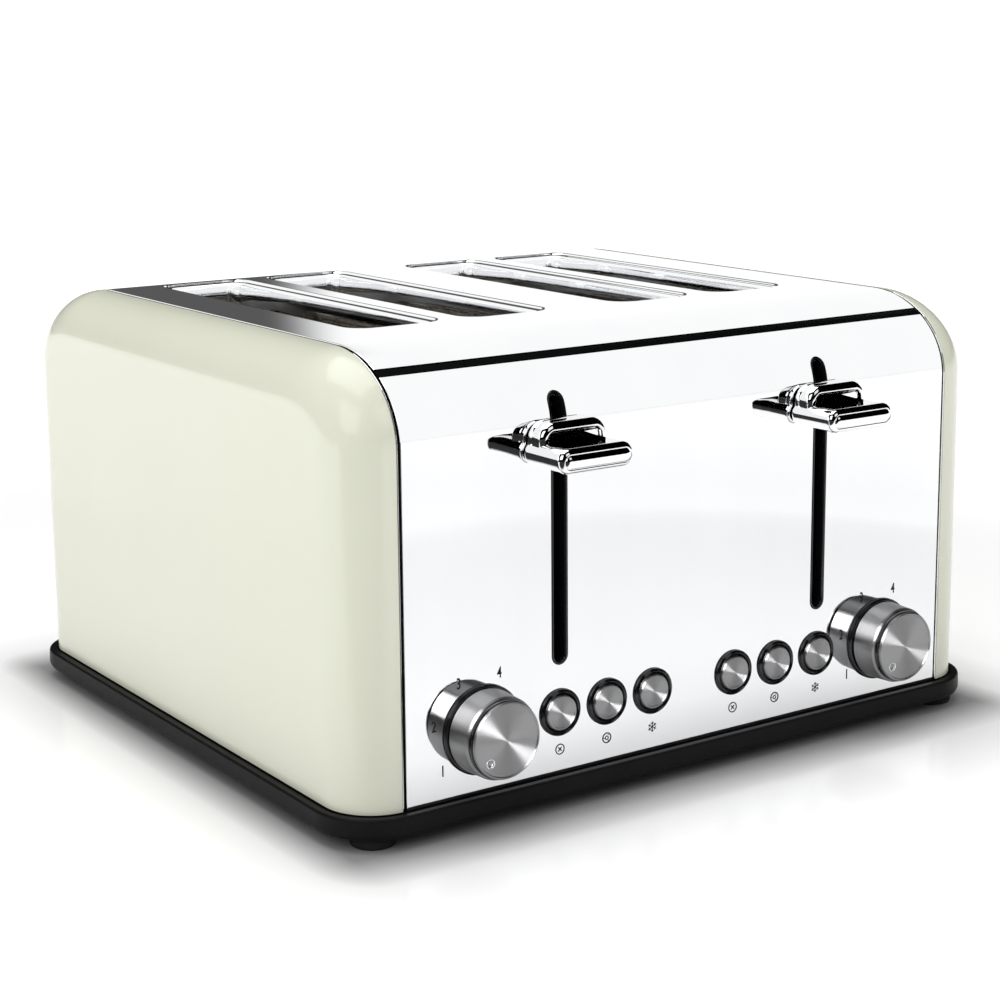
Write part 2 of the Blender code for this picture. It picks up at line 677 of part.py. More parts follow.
def make_dial(name, side):
    """Browning dial with a groove, a raised front disc and a marker dimple."""
    centre = (side * DIAL_X, FRONT_Y, DIAL_Z)
    barrel = DIAL_RADIUS - 0.0004
    disc = DIAL_RADIUS - 0.0015
    profile = ((SHAFT_RADIUS, SHAFT_END), (SHAFT_RADIUS, -0.0024), (DIAL_RADIUS, -0.0024),
               (barrel, -0.0128), (disc, -0.0131), (disc, -DIAL_REACH + 0.0003),
               (disc - 0.0008, -DIAL_REACH))
    dial = add_object(name, turned(bmesh.new(), centre, profile, count=32), "spun_steel", centre)
    turn = math.radians(DIAL_REST)
    dimple = (centre[0] + DIMPLE_RADIUS * math.cos(turn), FRONT_Y,
              DIAL_Z + DIMPLE_RADIUS * math.sin(turn))
    cutter = ((0.0015, 0.0008 - DIAL_REACH), (0.0015, -0.0200))
    bm = turned(bmesh.new(), dimple, cutter, count=10)
    combine(dial, add_object(f"{name}_dimple", bm, None))


def make_button(name, x):
    """Round cap with a stem that reaches the switch behind it."""
    centre = (x, FRONT_Y, BUTTON_Z)
    switch_gap = 0.0018
    profile = ((0.0020, BOARD_Y - FRONT_Y - SWITCH_DEPTH - switch_gap), (0.0020, 0.0045),
               (BUTTON_RADIUS, 0.0045), (BUTTON_RADIUS, -0.0012),
               (BUTTON_RADIUS - 0.0005, -0.0017))
    bm = turned(bmesh.new(), centre, profile, count=20)
    add_object(name, bm, "spun_steel", centre)


def make_bezels(name, side):
    """Three round bezels on one strip behind the panel."""
    middle = side * BUTTON_X[1]
    outline = rounded_rectangle(BUTTON_X[1] - BUTTON_X[0] + 0.0105, 0.0100, 0.0040, 3)
    rings = [in_front_plane(outline, middle, BUTTON_Z, FRONT_Y + reach)
             for reach in (0.0013, 0.0024)]
    strip = add_object(name, skin_rings(bmesh.new(), rings), "gloss_black")
    holes = bmesh.new()
    for x in BUTTON_X:
        turned(holes, (side * x, FRONT_Y, BUTTON_Z), ((0.0076, 0.0), (0.0076, 0.0050)), count=20)
    combine(strip, add_object(f"{name}_holes", holes, None))
    rounds = bmesh.new()
    bore = BUTTON_RADIUS + 0.00035
    profile = ((bore, 0.0022), (0.0082, 0.0022), (0.0082, -0.0003), (BEZEL_RADIUS, -0.0003),
               (BEZEL_RADIUS - 0.0004, -0.0012), (bore + 0.0004, -0.0015))
    for x in BUTTON_X:
        turned(rounds, (side * x, FRONT_Y, BUTTON_Z), profile, count=20, ring_shaped=True)
    combine(strip, add_object(f"{name}_rounds", rounds, None), "UNION")


def make_control_board():
    """One board across the front that carries the switches and the dials' sensors."""
    add = [((-0.1150, 0.1150), (BOARD_Y, BOARD_Y + 0.0016),
            (BASE_TOP + 0.0100, BASE_TOP + 0.0390))]
    for side in (-1, 1):
        for x in BUTTON_X:
            add.append(((side * x - SWITCH_HALF, side * x + SWITCH_HALF),
                        (BOARD_Y - SWITCH_DEPTH, BOARD_Y),
                        (BUTTON_Z - SWITCH_HALF, BUTTON_Z + SWITCH_HALF)))
        add.append(((side * DIAL_X - SENSOR_HALF, side * DIAL_X + SENSOR_HALF),
                    (BOARD_Y - 0.0020, BOARD_Y),
                    (DIAL_Z - SENSOR_HALF, DIAL_Z + SENSOR_HALF)))
    solid_from_boxes("control_board", "circuit_board", add)


def make_cord_gland():
    """Inlet in the back where the supply lead would enter."""
    profile = ((GLAND_BORE, -0.0060), (GLAND_NECK, -0.0060), (GLAND_NECK, GAP), (0.0090, GAP),
               (0.0090, 0.0022), (0.0062, 0.0030), (0.0052, 0.0070), (GLAND_BORE, 0.0070))
    bm = turned(bmesh.new(), (0.0, BACK_Y, GLAND_Z), profile, count=24, ring_shaped=True)
    add_object("cord_gland", bm, "black_plastic")


# ------------------------------------------------------------------ assembly
def build():
    clear_scene()
    make_base()
    make_feet()
    make_top_cover()
    make_front_panel()
    make_back_panel()
    make_seam_trims()
    make_chassis()
    make_control_board()
    make_cord_gland()
    for side, word in ((-1, "left"), (1, "right")):
        make_side_panel(f"{word}_side_panel", side)
        make_slot_liner(f"{word}_slot_liner", side)
        make_handle(f"{word}_lever_handle", side)
        make_carriage(f"{word}_lever_carriage", side)
        make_guide_rod(f"{word}_guide_rod", side)
        make_spring(f"{word}_return_spring", side)
        make_electromagnet(f"{word}_electromagnet", side)
        make_crumb_tray(f"{word}_crumb_tray", side)
        make_dial_collar(f"{word}_dial_collar", side)
        make_dial(f"{word}_dial", side)
        make_bezels(f"{word}_button_bezels", side)
        for x, action in zip(BUTTON_X, BUTTON_NAMES[side]):
            make_button(f"{word}_{action}_button", side * x)
        for x, place in zip(BREAD_X, ("inner", "outer")):
            make_rack(f"{word}_{place}_rack", side * x)
            for away, facing in ((-1, "west"), (1, "east")):
                make_guard(f"{word}_{place}_{facing}_guard",
                           side * x + away * GUARD_OFFSET, away)
        middle = (BREAD_X[0] + BREAD_X[1]) / 2
        reach = middle - BREAD_X[0]
        for x, place in ((BREAD_X[0] - reach, "inner"), (middle, "middle"),
                         (BREAD_X[1] + reach, "outer")):
            make_heater(f"{word}_{place}_heater", side * x)


build()
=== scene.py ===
import json
import math

import bmesh
import bpy
from mathutils import Matrix, Vector

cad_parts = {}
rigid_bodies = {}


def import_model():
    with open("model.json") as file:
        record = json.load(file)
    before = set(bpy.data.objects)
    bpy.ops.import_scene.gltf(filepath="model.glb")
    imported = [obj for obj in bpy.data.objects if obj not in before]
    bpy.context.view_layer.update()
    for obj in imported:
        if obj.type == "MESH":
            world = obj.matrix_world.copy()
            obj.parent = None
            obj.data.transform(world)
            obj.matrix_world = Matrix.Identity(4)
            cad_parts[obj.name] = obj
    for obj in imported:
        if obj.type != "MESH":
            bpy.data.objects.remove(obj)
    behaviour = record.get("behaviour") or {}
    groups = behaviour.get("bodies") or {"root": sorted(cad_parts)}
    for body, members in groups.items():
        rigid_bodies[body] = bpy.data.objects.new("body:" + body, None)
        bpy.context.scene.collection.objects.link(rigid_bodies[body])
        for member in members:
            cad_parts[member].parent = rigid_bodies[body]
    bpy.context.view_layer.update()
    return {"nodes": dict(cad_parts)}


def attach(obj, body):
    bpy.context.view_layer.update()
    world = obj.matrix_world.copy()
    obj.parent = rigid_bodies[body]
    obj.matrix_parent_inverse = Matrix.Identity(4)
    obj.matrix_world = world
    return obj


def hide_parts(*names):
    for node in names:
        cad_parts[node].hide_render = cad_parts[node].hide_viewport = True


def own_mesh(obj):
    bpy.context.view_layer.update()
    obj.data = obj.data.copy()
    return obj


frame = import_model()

# ------------------------------------------------------------------ dimensions of the frame
SHEET = 0.001
FOOT_HEIGHT = 0.0045
BASE_TOP = 0.0125
TOP_Z = 0.174
BODY_Y = 0.0085
BODY_DEPTH = 0.275
FRONT_Y = BODY_Y - BODY_DEPTH / 2
BACK_Y = BODY_Y + BODY_DEPTH / 2
BODY_HALF_WIDTH = 0.1509
STEEL_HALF_WIDTH = 0.1295
SIDE_X = 0.1305
SIDE_FILLET = BODY_HALF_WIDTH - SIDE_X
BEND_Y = 0.0405
BEND_Z = 0.0321
SEAM_LOW = math.radians(47.6)
SEAM_HIGH = math.radians(54.2)
PANEL_BOTTOM = BASE_TOP + 0.0003
BASE_LIP = 0.0043
BASE_CORNER = 0.0247
FOOT_X = 0.138
FOOT_Y = 0.128
LEVER_X = 0.063
LEVER_Z = BASE_TOP + 0.1226
LEVER_REACH = 0.0245
SLOT_LOW = BASE_TOP + 0.042
SLOT_HIGH = BASE_TOP + 0.143
SLOT_HALF = 0.0035
BREAD_X = (0.0361, 0.0864)
BREAD_HALF = 0.017
BREAD_Y = (BODY_Y - 0.066, BODY_Y + 0.0955)
BREAD_CORNER = 0.006
BUTTON_Z = BASE_TOP + 0.0238
BUTTON_X = (0.0199, 0.0415, 0.0631)
BUTTON_NAMES = {-1: ("defrost", "bagel", "cancel"), 1: ("cancel", "bagel", "defrost")}
BUTTON_RADIUS = 0.0067
BEZEL_RADIUS = 0.009
DIAL_X = 0.0973
DIAL_Z = BASE_TOP + 0.024
DIAL_REACH = 0.016
DIMPLE_RADIUS = 0.01
DIMPLE_TURN = 225              # degrees
COLLAR_RADIUS = 0.0168
ROD_Y = FRONT_Y + 0.035
ROD_RADIUS = 0.003
CARRIAGE_HALF = 0.007
MAGNET_OFFSET = 0.0165
BOARD_Y = FRONT_Y + 0.015
FRONT_PLATE_Y = BREAD_Y[0] - 0.007
CHAMBER = (FRONT_PLATE_Y + 0.0018, BREAD_Y[1] + 0.0019)
CROSSBAR_Y = FRONT_PLATE_Y - 0.0075
RACK_TOP = 0.112
GUARD_OFFSET = 0.0176
GUARD_THICK = 0.0015
GUARD_Z = (0.034, 0.16)
HEATER_Z = (0.034, 0.158)
TRAY_X = (0.02, 0.104)
TRAY_FLOOR = 0.015
TRAY_LIP_TOP = 0.0225
GLAND_Z = 0.04
GLAND_NECK = 0.0058


# ------------------------------------------------------------------ materials
class Nodes:
    """Short ways to build the nodes of a material or the world."""

    def __init__(self, owner):
        owner.use_nodes = True
        self.tree = owner.node_tree

    def add(self, kind, inputs=(), **settings):
        node = self.tree.nodes.new(kind)
        for key, value in settings.items():
            setattr(node, key, value)
        for key, value in dict(inputs).items():
            if isinstance(value, bpy.types.NodeSocket):
                self.tree.links.new(value, node.inputs[key])
            else:
                node.inputs[key].default_value = value
        return node

    def axes(self, source="Object"):
        """The X, Y and Z of a texture coordinate."""
        place = self.add("ShaderNodeTexCoord").outputs[source]
        return self.add("ShaderNodeSeparateXYZ", {0: place}).outputs

    def maths(self, operation, first, second=0.0):
        return self.add("ShaderNodeMath", {0: first, 1: second}, operation=operation).outputs[0]

    def spread(self, value, low, high, start=0.0, end=1.0, kind="LINEAR"):
        """Map value, from start to end, to between low and high."""
        limits = {"Value": value, "From Min": start, "From Max": end, "To Min": low, "To Max": high}
        return self.add("ShaderNodeMapRange", limits, interpolation_type=kind).outputs[0]

    def ease(self, value, low, high, start=0.0, end=1.0):
        return self.spread(value, low, high, start, end, "SMOOTHSTEP")

    def show(self, shader, output="Material Output"):
        self.tree.links.new(shader.outputs[0], self.tree.nodes[output].inputs["Surface"])


class Finish(Nodes):
    """A material whose colour, roughness and surface vary over the piece."""

    def __init__(self, name, colour, roughness, metallic=0.0, shades=(), gloss=(), relief=(),
            **sockets):
        """shades, gloss and relief each give a noise, and then the two ends that it runs between."""
        self.name = name
        self.material = bpy.data.materials.new(name)
        super().__init__(self.material)
        self.shader = self.tree.nodes["Principled BSDF"]
        sockets |= {"Base Color": (*colour, 1.0), "Roughness": roughness, "Metallic": metallic}
        for socket, value in sockets.items():
            self.shader.inputs[socket.replace("_", " ")].default_value = value
        for make, (*noise, low, high) in ((self.paint, shades or (0, 0)), (self.gloss, gloss or (0, 0)),
                (self.relief, relief or (0, 0))):
            if noise:
                make(self.noise(*noise), low, high)

    def place(self, stretch=(1.0, 1.0, 1.0)):
        """Coordinates on the piece itself, in metres, stretched along its axes."""
        source = self.add("ShaderNodeTexCoord").outputs["Object"]
        return self.add("ShaderNodeMapping", {"Vector": source, "Scale": stretch}).outputs[0]

    def noise(self, scale, detail, stretch=(1.0, 1.0, 1.0)):
        return self.add("ShaderNodeTexNoise", {"Vector": self.place(stretch), "Scale": scale,
            "Detail": detail, "Roughness": 0.5}).outputs["Fac"]

    def flakes(self, scale, stretch=(1.0, 1.0, 1.0)):
        """A chance value for each cell of a crystal pattern."""
        cells = self.add("ShaderNodeTexVoronoi", {"Vector": self.place(stretch), "Scale": scale})
        return self.add("ShaderNodeSeparateColor", {0: cells.outputs["Color"]}).outputs[0]

    def paint(self, value, dark, light):
        mix = self.add("ShaderNodeMix", {"Factor": value, 6: (*dark, 1.0), 7: (*light, 1.0)},
            data_type="RGBA")
        self.tree.links.new(mix.outputs[2], self.shader.inputs["Base Color"])

    def gloss(self, value, low, high):
        self.tree.links.new(self.spread(value, low, high), self.shader.inputs["Roughness"])

    def relief(self, height, strength, distance):
        """Add a fine relief to what the surface has already."""
        bump = self.add("ShaderNodeBump", {"Height": height, "Strength": strength,
            "Distance": distance})
        normal = self.shader.inputs["Normal"]
        if normal.is_linked:
            self.tree.links.new(normal.links[0].from_socket, bump.inputs["Normal"])
        self.tree.links.new(bump.outputs[0], normal)


def make_finishes():
    steel = Finish("polished_steel", (0.9, 0.905, 0.91), 0.05, 1.0,
        (35.0, 5.0, (1.0, 1.0, 0.25), (0.865, 0.87, 0.88), (0.925, 0.93, 0.935)),
        (420.0, 4.0, (1.0, 1.0, 0.15), 0.018, 0.06), (9.0, 1.0, 0.035, 0.004))
    steel.relief(steel.noise(2600.0, 2.0, (0.08, 1.0, 1.0)), 0.012, 0.0002)

    # The lathe's grooves run round the axis, so light fans out across them.
    spun = Finish("spun_steel", (0.33, 0.33, 0.335), 0.34, 1.0, Anisotropic=1.0,
        Anisotropic_Rotation=0.25)
    off_axis = spun.add("ShaderNodeVectorMath", {0: spun.place((1.0, 0.0, 1.0))}, operation="LENGTH")
    rings = spun.add("ShaderNodeTexNoise", {"W": spun.maths("MULTIPLY", off_axis.outputs["Value"],
        5200.0), "Detail": 3.0}, noise_dimensions="1D").outputs[0]
    spun.paint(rings, (0.27, 0.27, 0.275), (0.38, 0.38, 0.385))
    spun.gloss(rings, 0.3, 0.38)
    spun.relief(rings, 0.1, 0.0001)
    tangent = spun.add("ShaderNodeTangent", direction_type="RADIAL", axis="Y")
    spun.tree.links.new(tangent.outputs[0], spun.shader.inputs["Tangent"])

    zinc = Finish("zinc_sheet", (0.58, 0.59, 0.61), 0.36, 1.0, relief=(900.0, 3.0, 0.05, 0.0002))
    spangle = zinc.flakes(140.0)
    zinc.paint(spangle, (0.56, 0.57, 0.59), (0.66, 0.67, 0.69))
    zinc.gloss(spangle, 0.34, 0.42)

    mica = Finish("mica_board", (0.55, 0.47, 0.36), 0.5, relief=(1200.0, 4.0, 0.15, 0.0002),
        Specular_IOR_Level=0.6)
    scales = mica.flakes(420.0, (1.0, 1.0, 0.5))
    mica.paint(scales, (0.44, 0.36, 0.26), (0.68, 0.61, 0.5))
    mica.gloss(scales, 0.3, 0.65)

    board = Finish("circuit_board", (0.05, 0.18, 0.09), 0.35, gloss=(500.0, 2.0, 0.28, 0.42),
        Coat_Weight=0.4, Coat_Roughness=0.1)
    tracks = board.add("ShaderNodeTexBrick", {"Vector": board.place(), "Scale": 90.0,
        "Color1": (0.03, 0.13, 0.06, 1.0), "Color2": (0.045, 0.165, 0.08, 1.0),
        "Mortar": (0.1, 0.3, 0.14, 1.0), "Mortar Size": 0.06})
    board.tree.links.new(tracks.outputs["Color"], board.shader.inputs["Base Color"])
    board.relief(tracks.outputs["Fac"], 0.2, 0.0002)

    copper = Finish("copper_coil", (0.72, 0.33, 0.16), 0.3, 1.0, gloss=(600.0, 2.0, 0.22, 0.38),
        Coat_Weight=0.5, Coat_Roughness=0.08)
    winding = copper.add("ShaderNodeTexWave", {"Vector": copper.place(), "Scale": 900.0,
        "Distortion": 0.4}, bands_direction="Z").outputs["Fac"]
    copper.paint(winding, (0.42, 0.15, 0.06), (0.8, 0.38, 0.19))
    copper.relief(winding, 0.5, 0.0003)

    finishes = [steel, spun, zinc, mica, board, copper, Finish("cream_enamel", (0.69, 0.7, 0.572), 0.3,
        0.0, (18.0, 4.0, (0.67275, 0.6825, 0.5577), (0.7038, 0.714, 0.58344)), (140.0, 3.0, 0.26, 0.36),
        (1500.0, 2.0, 0.05, 0.0002), Coat_Weight=0.6, Coat_Roughness=0.06, Specular_IOR_Level=0.45),
        Finish("chrome", (0.93, 0.935, 0.94), 0.03, 1.0, (90.0, 3.0, (0.9, 0.905, 0.915),
        (0.95, 0.95, 0.955)), (300.0, 4.0, 0.012, 0.045), (60.0, 1.0, 0.02, 0.001)),
        Finish("black_plastic", (0.008, 0.008, 0.0085), 0.34, 0.0,
        (60.0, 4.0, (0.006, 0.006, 0.0065), (0.01, 0.01, 0.0105)), (900.0, 3.0, 0.3, 0.46),
        (4200.0, 2.0, 0.16, 0.0001), Specular_IOR_Level=0.1), Finish("gloss_black",
        (0.004, 0.004, 0.005), 0.08, 0.0, (120.0, 3.0, (0.003, 0.003, 0.0035), (0.006, 0.006, 0.007)),
        (700.0, 4.0, 0.05, 0.13), (240.0, 2.0, 0.03, 0.0003), Specular_IOR_Level=0.5, Coat_Weight=0.1,
        Coat_Roughness=0.03), Finish("seam_black", (0.004, 0.004, 0.004), 0.55, 0.0,
        (200.0, 3.0, (0.0015, 0.0015, 0.0015), (0.0035, 0.0035, 0.0035)), (1500.0, 2.0, 0.45, 0.62),
        Specular_IOR_Level=0.02), Finish("rubber", (0.016, 0.016, 0.016), 0.8, 0.0,
        (400.0, 4.0, (0.012, 0.012, 0.012), (0.024, 0.024, 0.023)), (600.0, 3.0, 0.68, 0.88),
        (3000.0, 3.0, 0.25, 0.0002), Specular_IOR_Level=0.3), Finish("steel_wire", (0.62, 0.61, 0.59),
        0.27, 1.0, (45.0, 3.0, (0.5, 0.475, 0.44), (0.7, 0.7, 0.7)),
        (900.0, 3.0, (1.0, 1.0, 0.05), 0.18, 0.36), (2500.0, 2.0, (1.0, 1.0, 0.04), 0.06, 0.0001)),
        Finish("heater_ribbon", (0.3, 0.29, 0.3), 0.4, 1.0, (160.0, 4.0, (0.2, 0.18, 0.18),
        (0.42, 0.41, 0.43)), (800.0, 2.0, 0.3, 0.52), (2200.0, 2.0, 0.08, 0.0001)),
        Finish("black_ink", (0.01, 0.01, 0.011), 0.45, 0.0, (2500.0, 3.0, (0.006, 0.006, 0.006),
        (0.02, 0.02, 0.02)), (1800.0, 2.0, 0.38, 0.55), Specular_IOR_Level=0.2)]
    return {finish.name: finish.material for finish in finishes}


FINISHES = make_finishes()


# ------------------------------------------------------------------ making pieces
def link(name, mesh, origin=(0.0, 0.0, 0.0)):
    made = bpy.data.objects.new(name, mesh)
    made.location = origin
    bpy.context.scene.collection.objects.link(made)
    return made


def mesh_of(name, bm, weld=True):
    """A mesh from a bmesh, which is used up. weld joins its verts and turns its faces outward."""
    if weld:
        bmesh.ops.remove_doubles(bm, verts=bm.verts, dist=0.000001)
        bmesh.ops.recalc_face_normals(bm, faces=bm.faces)
    mesh = bpy.data.meshes.new(name)
    bm.to_mesh(mesh)
    bm.free()
    return mesh


def piece(name, bm, finish, body="housing", stands_for=(), origin=(0.0, 0.0, 0.0), sharp=32.0,
        bevel=0.0, even=False):
    """Turn a bmesh into a piece that rides on a body and stands for some CAD nodes."""
    mesh = mesh_of(name, bm)
    mesh.shade_smooth()
    mesh.set_sharp_from_angle(angle=math.radians(sharp))
    mesh.materials.append(FINISHES[finish])
    made = link(name, mesh, origin)
    if bevel:
        edge = made.modifiers.new("edges", "BEVEL")
        edge.width = bevel
        edge.segments = 2
        edge.limit_method = "ANGLE"
        edge.angle_limit = math.radians(35)
    if bevel or even:
        weighted = made.modifiers.new("normals", "WEIGHTED_NORMAL")
        weighted.keep_sharp = True
    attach(made, body)
    if stands_for:
        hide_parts(*stands_for)
    return made


def settled_mesh(made):
    """An object's mesh with its modifiers taken in."""
    graph = bpy.context.evaluated_depsgraph_get()
    graph.update()
    return bpy.data.meshes.new_from_object(made.evaluated_get(graph))


def carve(made, bm, operation="DIFFERENCE"):
    """Cut a helper shape out of a piece, or join it on."""
    helper = link("helper", mesh_of("helper", bm))
    step = made.modifiers.new("carve", "BOOLEAN")
    step.operation = operation
    step.solver = "EXACT"
    step.object = helper
    mesh = settled_mesh(made)
    made.modifiers.clear()
    made.data = mesh
    bpy.data.objects.remove(helper, do_unlink=True)


def skin(bm, rings, loop=False, closed=True):
    """Stretch a skin over rings of points with equal counts. closed joins each ring's ends."""
    made = [[bm.verts.new(point) for point in ring] for ring in rings]
    for low, high in zip(made, made[1:] + made[:1] if loop else made[1:]):
        for i in range(len(low) if closed else len(low) - 1):
            j = (i + 1) % len(low)
            bm.faces.new((low[i], low[j], high[j], high[i]))
    return made


def loft(bm, rings, loop=False):
    """Skin a list of rings, capped or closed on itself."""
    made = skin(bm, rings, loop)
    if not loop:
        bm.faces.new(list(reversed(made[0])))
        bm.faces.new(made[-1])
    return bm


def rounded(points, radii, closed=False, steps=4):
    """A 2-D path with its corners rounded. radii is one radius or one per point."""
    path = [Vector(point) for point in points]
    out = []
    for i, point in enumerate(path):
        radius = radii if isinstance(radii, float) else radii[i]
        if radius == 0 or (not closed and i in (0, len(path) - 1)):
            out.append(point)
            continue
        back = path[i - 1] - point
        ahead = path[(i + 1) % len(path)] - point
        half = back.angle(ahead) / 2
        cut = min(radius / math.tan(half), back.length * 0.49, ahead.length * 0.49)
        radius = cut * math.tan(half)
        centre = point + (back.normalized() + ahead.normalized()).normalized() * (
            radius / math.sin(half))
        first = (point + back.normalized() * cut - centre).normalized()
        last = (point + ahead.normalized() * cut - centre).normalized()
        for k in range(steps + 1):
            out.append(centre + first.slerp(last, k / steps) * radius)
    return out


def revolve(bm, profile, axis="Y", count=64, loop=False, centre=(0.0, 0.0, 0.0)):
    """A turned piece: profile is (radius, distance along the axis)."""
    rings = []
    for radius, along in profile:
        ring = []
        for i in range(count):
            turn = 2 * math.pi * i / count
            a, b = radius * math.cos(turn), radius * math.sin(turn)
            point = {"X": (along, a, b), "Y": (a, along, b), "Z": (a, b, along)}[axis]
            ring.append(Vector(point) + Vector(centre))
        rings.append(ring)
    return loft(bm, rings, loop)


def polar(degrees, length=1.0):
    turn = math.radians(degrees)
    return Vector((math.cos(turn), math.sin(turn))) * length


def round_box(half_a, half_b, radius, steps=8):
    """Outline of a rectangle with round corners, as (a, b) pairs, anticlockwise."""
    return [Vector((side_a * (half_a - radius),
        side_b * (half_b - radius))) + polar(start + 90 * i / steps, radius)
        for side_a, side_b, start in ((1, 1, 0), (-1, 1, 90), (-1, -1, 180), (1, -1, 270))
        for i in range(steps + 1)]


def turned(name, points, radii, finish, body="housing", count=64, steps=4, closed=False, axis="Y",
        **more):
    """A piece turned from a profile with rounded corners. closed makes a ring of it."""
    profile = rounded(points, radii, closed, steps)
    return piece(name, revolve(bmesh.new(), profile, axis, count, closed), finish, body, **more)


def facing(outline, x, y, z):
    """Place an (a, b) outline upright, facing the front."""
    return [(x + a, y, z + b) for a, b in outline]


def lying(outline, x, y, z):
    """Place an (a, b) outline flat."""
    return [(x + a, y + b, z) for a, b in outline]


def tube(bm, path, radius, sides=8, closed=False):
    """A round wire along a path."""
    path = [Vector(point) for point in path]
    count = len(path)
    rings = []
    across = None
    for i, point in enumerate(path):
        if closed:
            along = path[(i + 1) % count] - path[i - 1]
        else:
            along = path[min(i + 1, count - 1)] - path[max(i - 1, 0)]
        along.normalize()
        if across is None:
            across = along.orthogonal().normalized()
        across = (across - along * across.dot(along)).normalized()
        up = along.cross(across)
        rings.append([point + across * (radius * math.cos(2 * math.pi * k / sides))
                      + up * (radius * math.sin(2 * math.pi * k / sides))
                      for k in range(sides)])
    return loft(bm, rings, loop=closed)


def block(bm, low, high):
    """A plain box, given by two corners."""
    made = bmesh.ops.create_cube(bm, size=1.0)
    low, high = Vector(low), Vector(high)
    for vert in made["verts"]:
        vert.co = (low + high) / 2 + Vector(c * s for c, s in zip(vert.co, high - low))
    return bm


def plate(bm, outline, holes, place, thick):
    """A flat sheet with holes. place turns (a, b) into a point, and thick is a vector."""
    edges = []
    for path in [outline, *holes]:
        verts = [bm.verts.new(place(a, b)) for a, b in path]
        edges += [bm.edges.new((verts[i - 1], verts[i])) for i in range(len(verts))]
    faces = bmesh.ops.triangle_fill(bm, use_beauty=True, edges=edges)["geom"]
    faces = [item for item in faces if isinstance(item, bmesh.types.BMFace)]
    grown = bmesh.ops.extrude_face_region(bm, geom=faces)["geom"]
    bmesh.ops.translate(bm, verts=[v for v in grown if isinstance(v, bmesh.types.BMVert)],
        vec=Vector(thick))
    return bm


def copy_of(name, node, finish, body="housing", bevel=0.0003):
    """The shape of a CAD node with its edges broken, as a piece of its own."""
    bm = bmesh.new()
    bm.from_mesh(frame["nodes"][node].data)
    bmesh.ops.remove_doubles(bm, verts=bm.verts, dist=0.000001)
    bmesh.ops.dissolve_limit(bm, angle_limit=math.radians(1), verts=bm.verts, edges=bm.edges)
    return piece(name, bm, finish, body, (node,), bevel=bevel)


# ------------------------------------------------------------------ body profile
def bend_point(turn, inset):
    """A point of the front bend. turn is 0 where it leaves the front and 90 degrees on top."""
    outward = Vector((-math.cos(turn) / BEND_Y, math.sin(turn) / BEND_Z)).normalized()
    y = FRONT_Y + BEND_Y - BEND_Y * math.cos(turn)
    z = TOP_Z - BEND_Z + BEND_Z * math.sin(turn)
    return (y - outward.x * inset, z - outward.y * inset)


def bend(first, last, inset, steps):
    return [bend_point(first + (last - first) * i / steps, inset) for i in range(steps + 1)]


def mirrored(path):
    return [(2 * BODY_Y - y, z) for y, z in reversed(path)]


def surface_y(z):
    """How far back the front surface lies at a height."""
    rise = max(0.0, z - (TOP_Z - BEND_Z))
    return FRONT_Y + BEND_Y * (1 - math.sqrt(1 - (rise / BEND_Z) ** 2))


def body_outline(inset, bottom, steps=28):
    front = [(FRONT_Y + inset, bottom)] + bend(0, math.pi / 2, inset, steps)
    return front + mirrored(front)


def shell_normal(point):
    """Outward normal of the body's smooth surface at a point on it."""
    side = -1.0 if point.y < BODY_Y else 1.0
    rise = (point.z - (TOP_Z - BEND_Z)) / BEND_Z
    run = (abs(point.y - BODY_Y) - (BODY_DEPTH / 2 - BEND_Y)) / BEND_Y
    if rise <= 0.0001:
        return Vector((0.0, side, 0.0))
    if run <= 0.0001:
        return Vector((0.0, 0.0, 1.0))
    return Vector((0.0, side * run / BEND_Y, rise / BEND_Z)).normalized()


def exact_normals(made, normal_at=shell_normal):
    """Give the outside of a piece the exact normals of the smooth surface it follows."""
    mesh = made.data
    mesh.shade_smooth()
    mesh.set_sharp_from_angle(angle=math.radians(32))
    smooth = [Vector(painted_dark_corner.vector) for painted_dark_corner in mesh.corner_normals]
    for face in mesh.polygons:
        for index in face.loop_indices:
            wanted = normal_at(mesh.vertices[mesh.loops[index].vertex_index].co)
            if face.normal.dot(wanted) > 0.97:
                smooth[index] = wanted
    mesh.normals_split_custom_set(smooth)


def across(half, edge=0.0003):
    """Places across a sheet, and how far it drops there: both side edges are rounded."""
    left = [(-half, edge), (-half + edge * 0.3, edge * 0.3), (-half + edge, 0.0)]
    return left + [(-x, drop) for x, drop in reversed(left)]


def strip(path, half_width, thick=SHEET):
    """A bent sheet right across the body. path gives its section, some way below the surface."""
    bm = bmesh.new()
    inner = path(thick)[::-1]
    made = skin(bm, [[(x, y, z) for y, z in path(drop) + inner] for x, drop in across(half_width)])
    for verts in (made[0], made[-1]):
        for i in range(len(verts) // 2 - 1):
            bm.faces.new((verts[i], verts[i + 1], verts[-2 - i], verts[-1 - i]))
    return bm


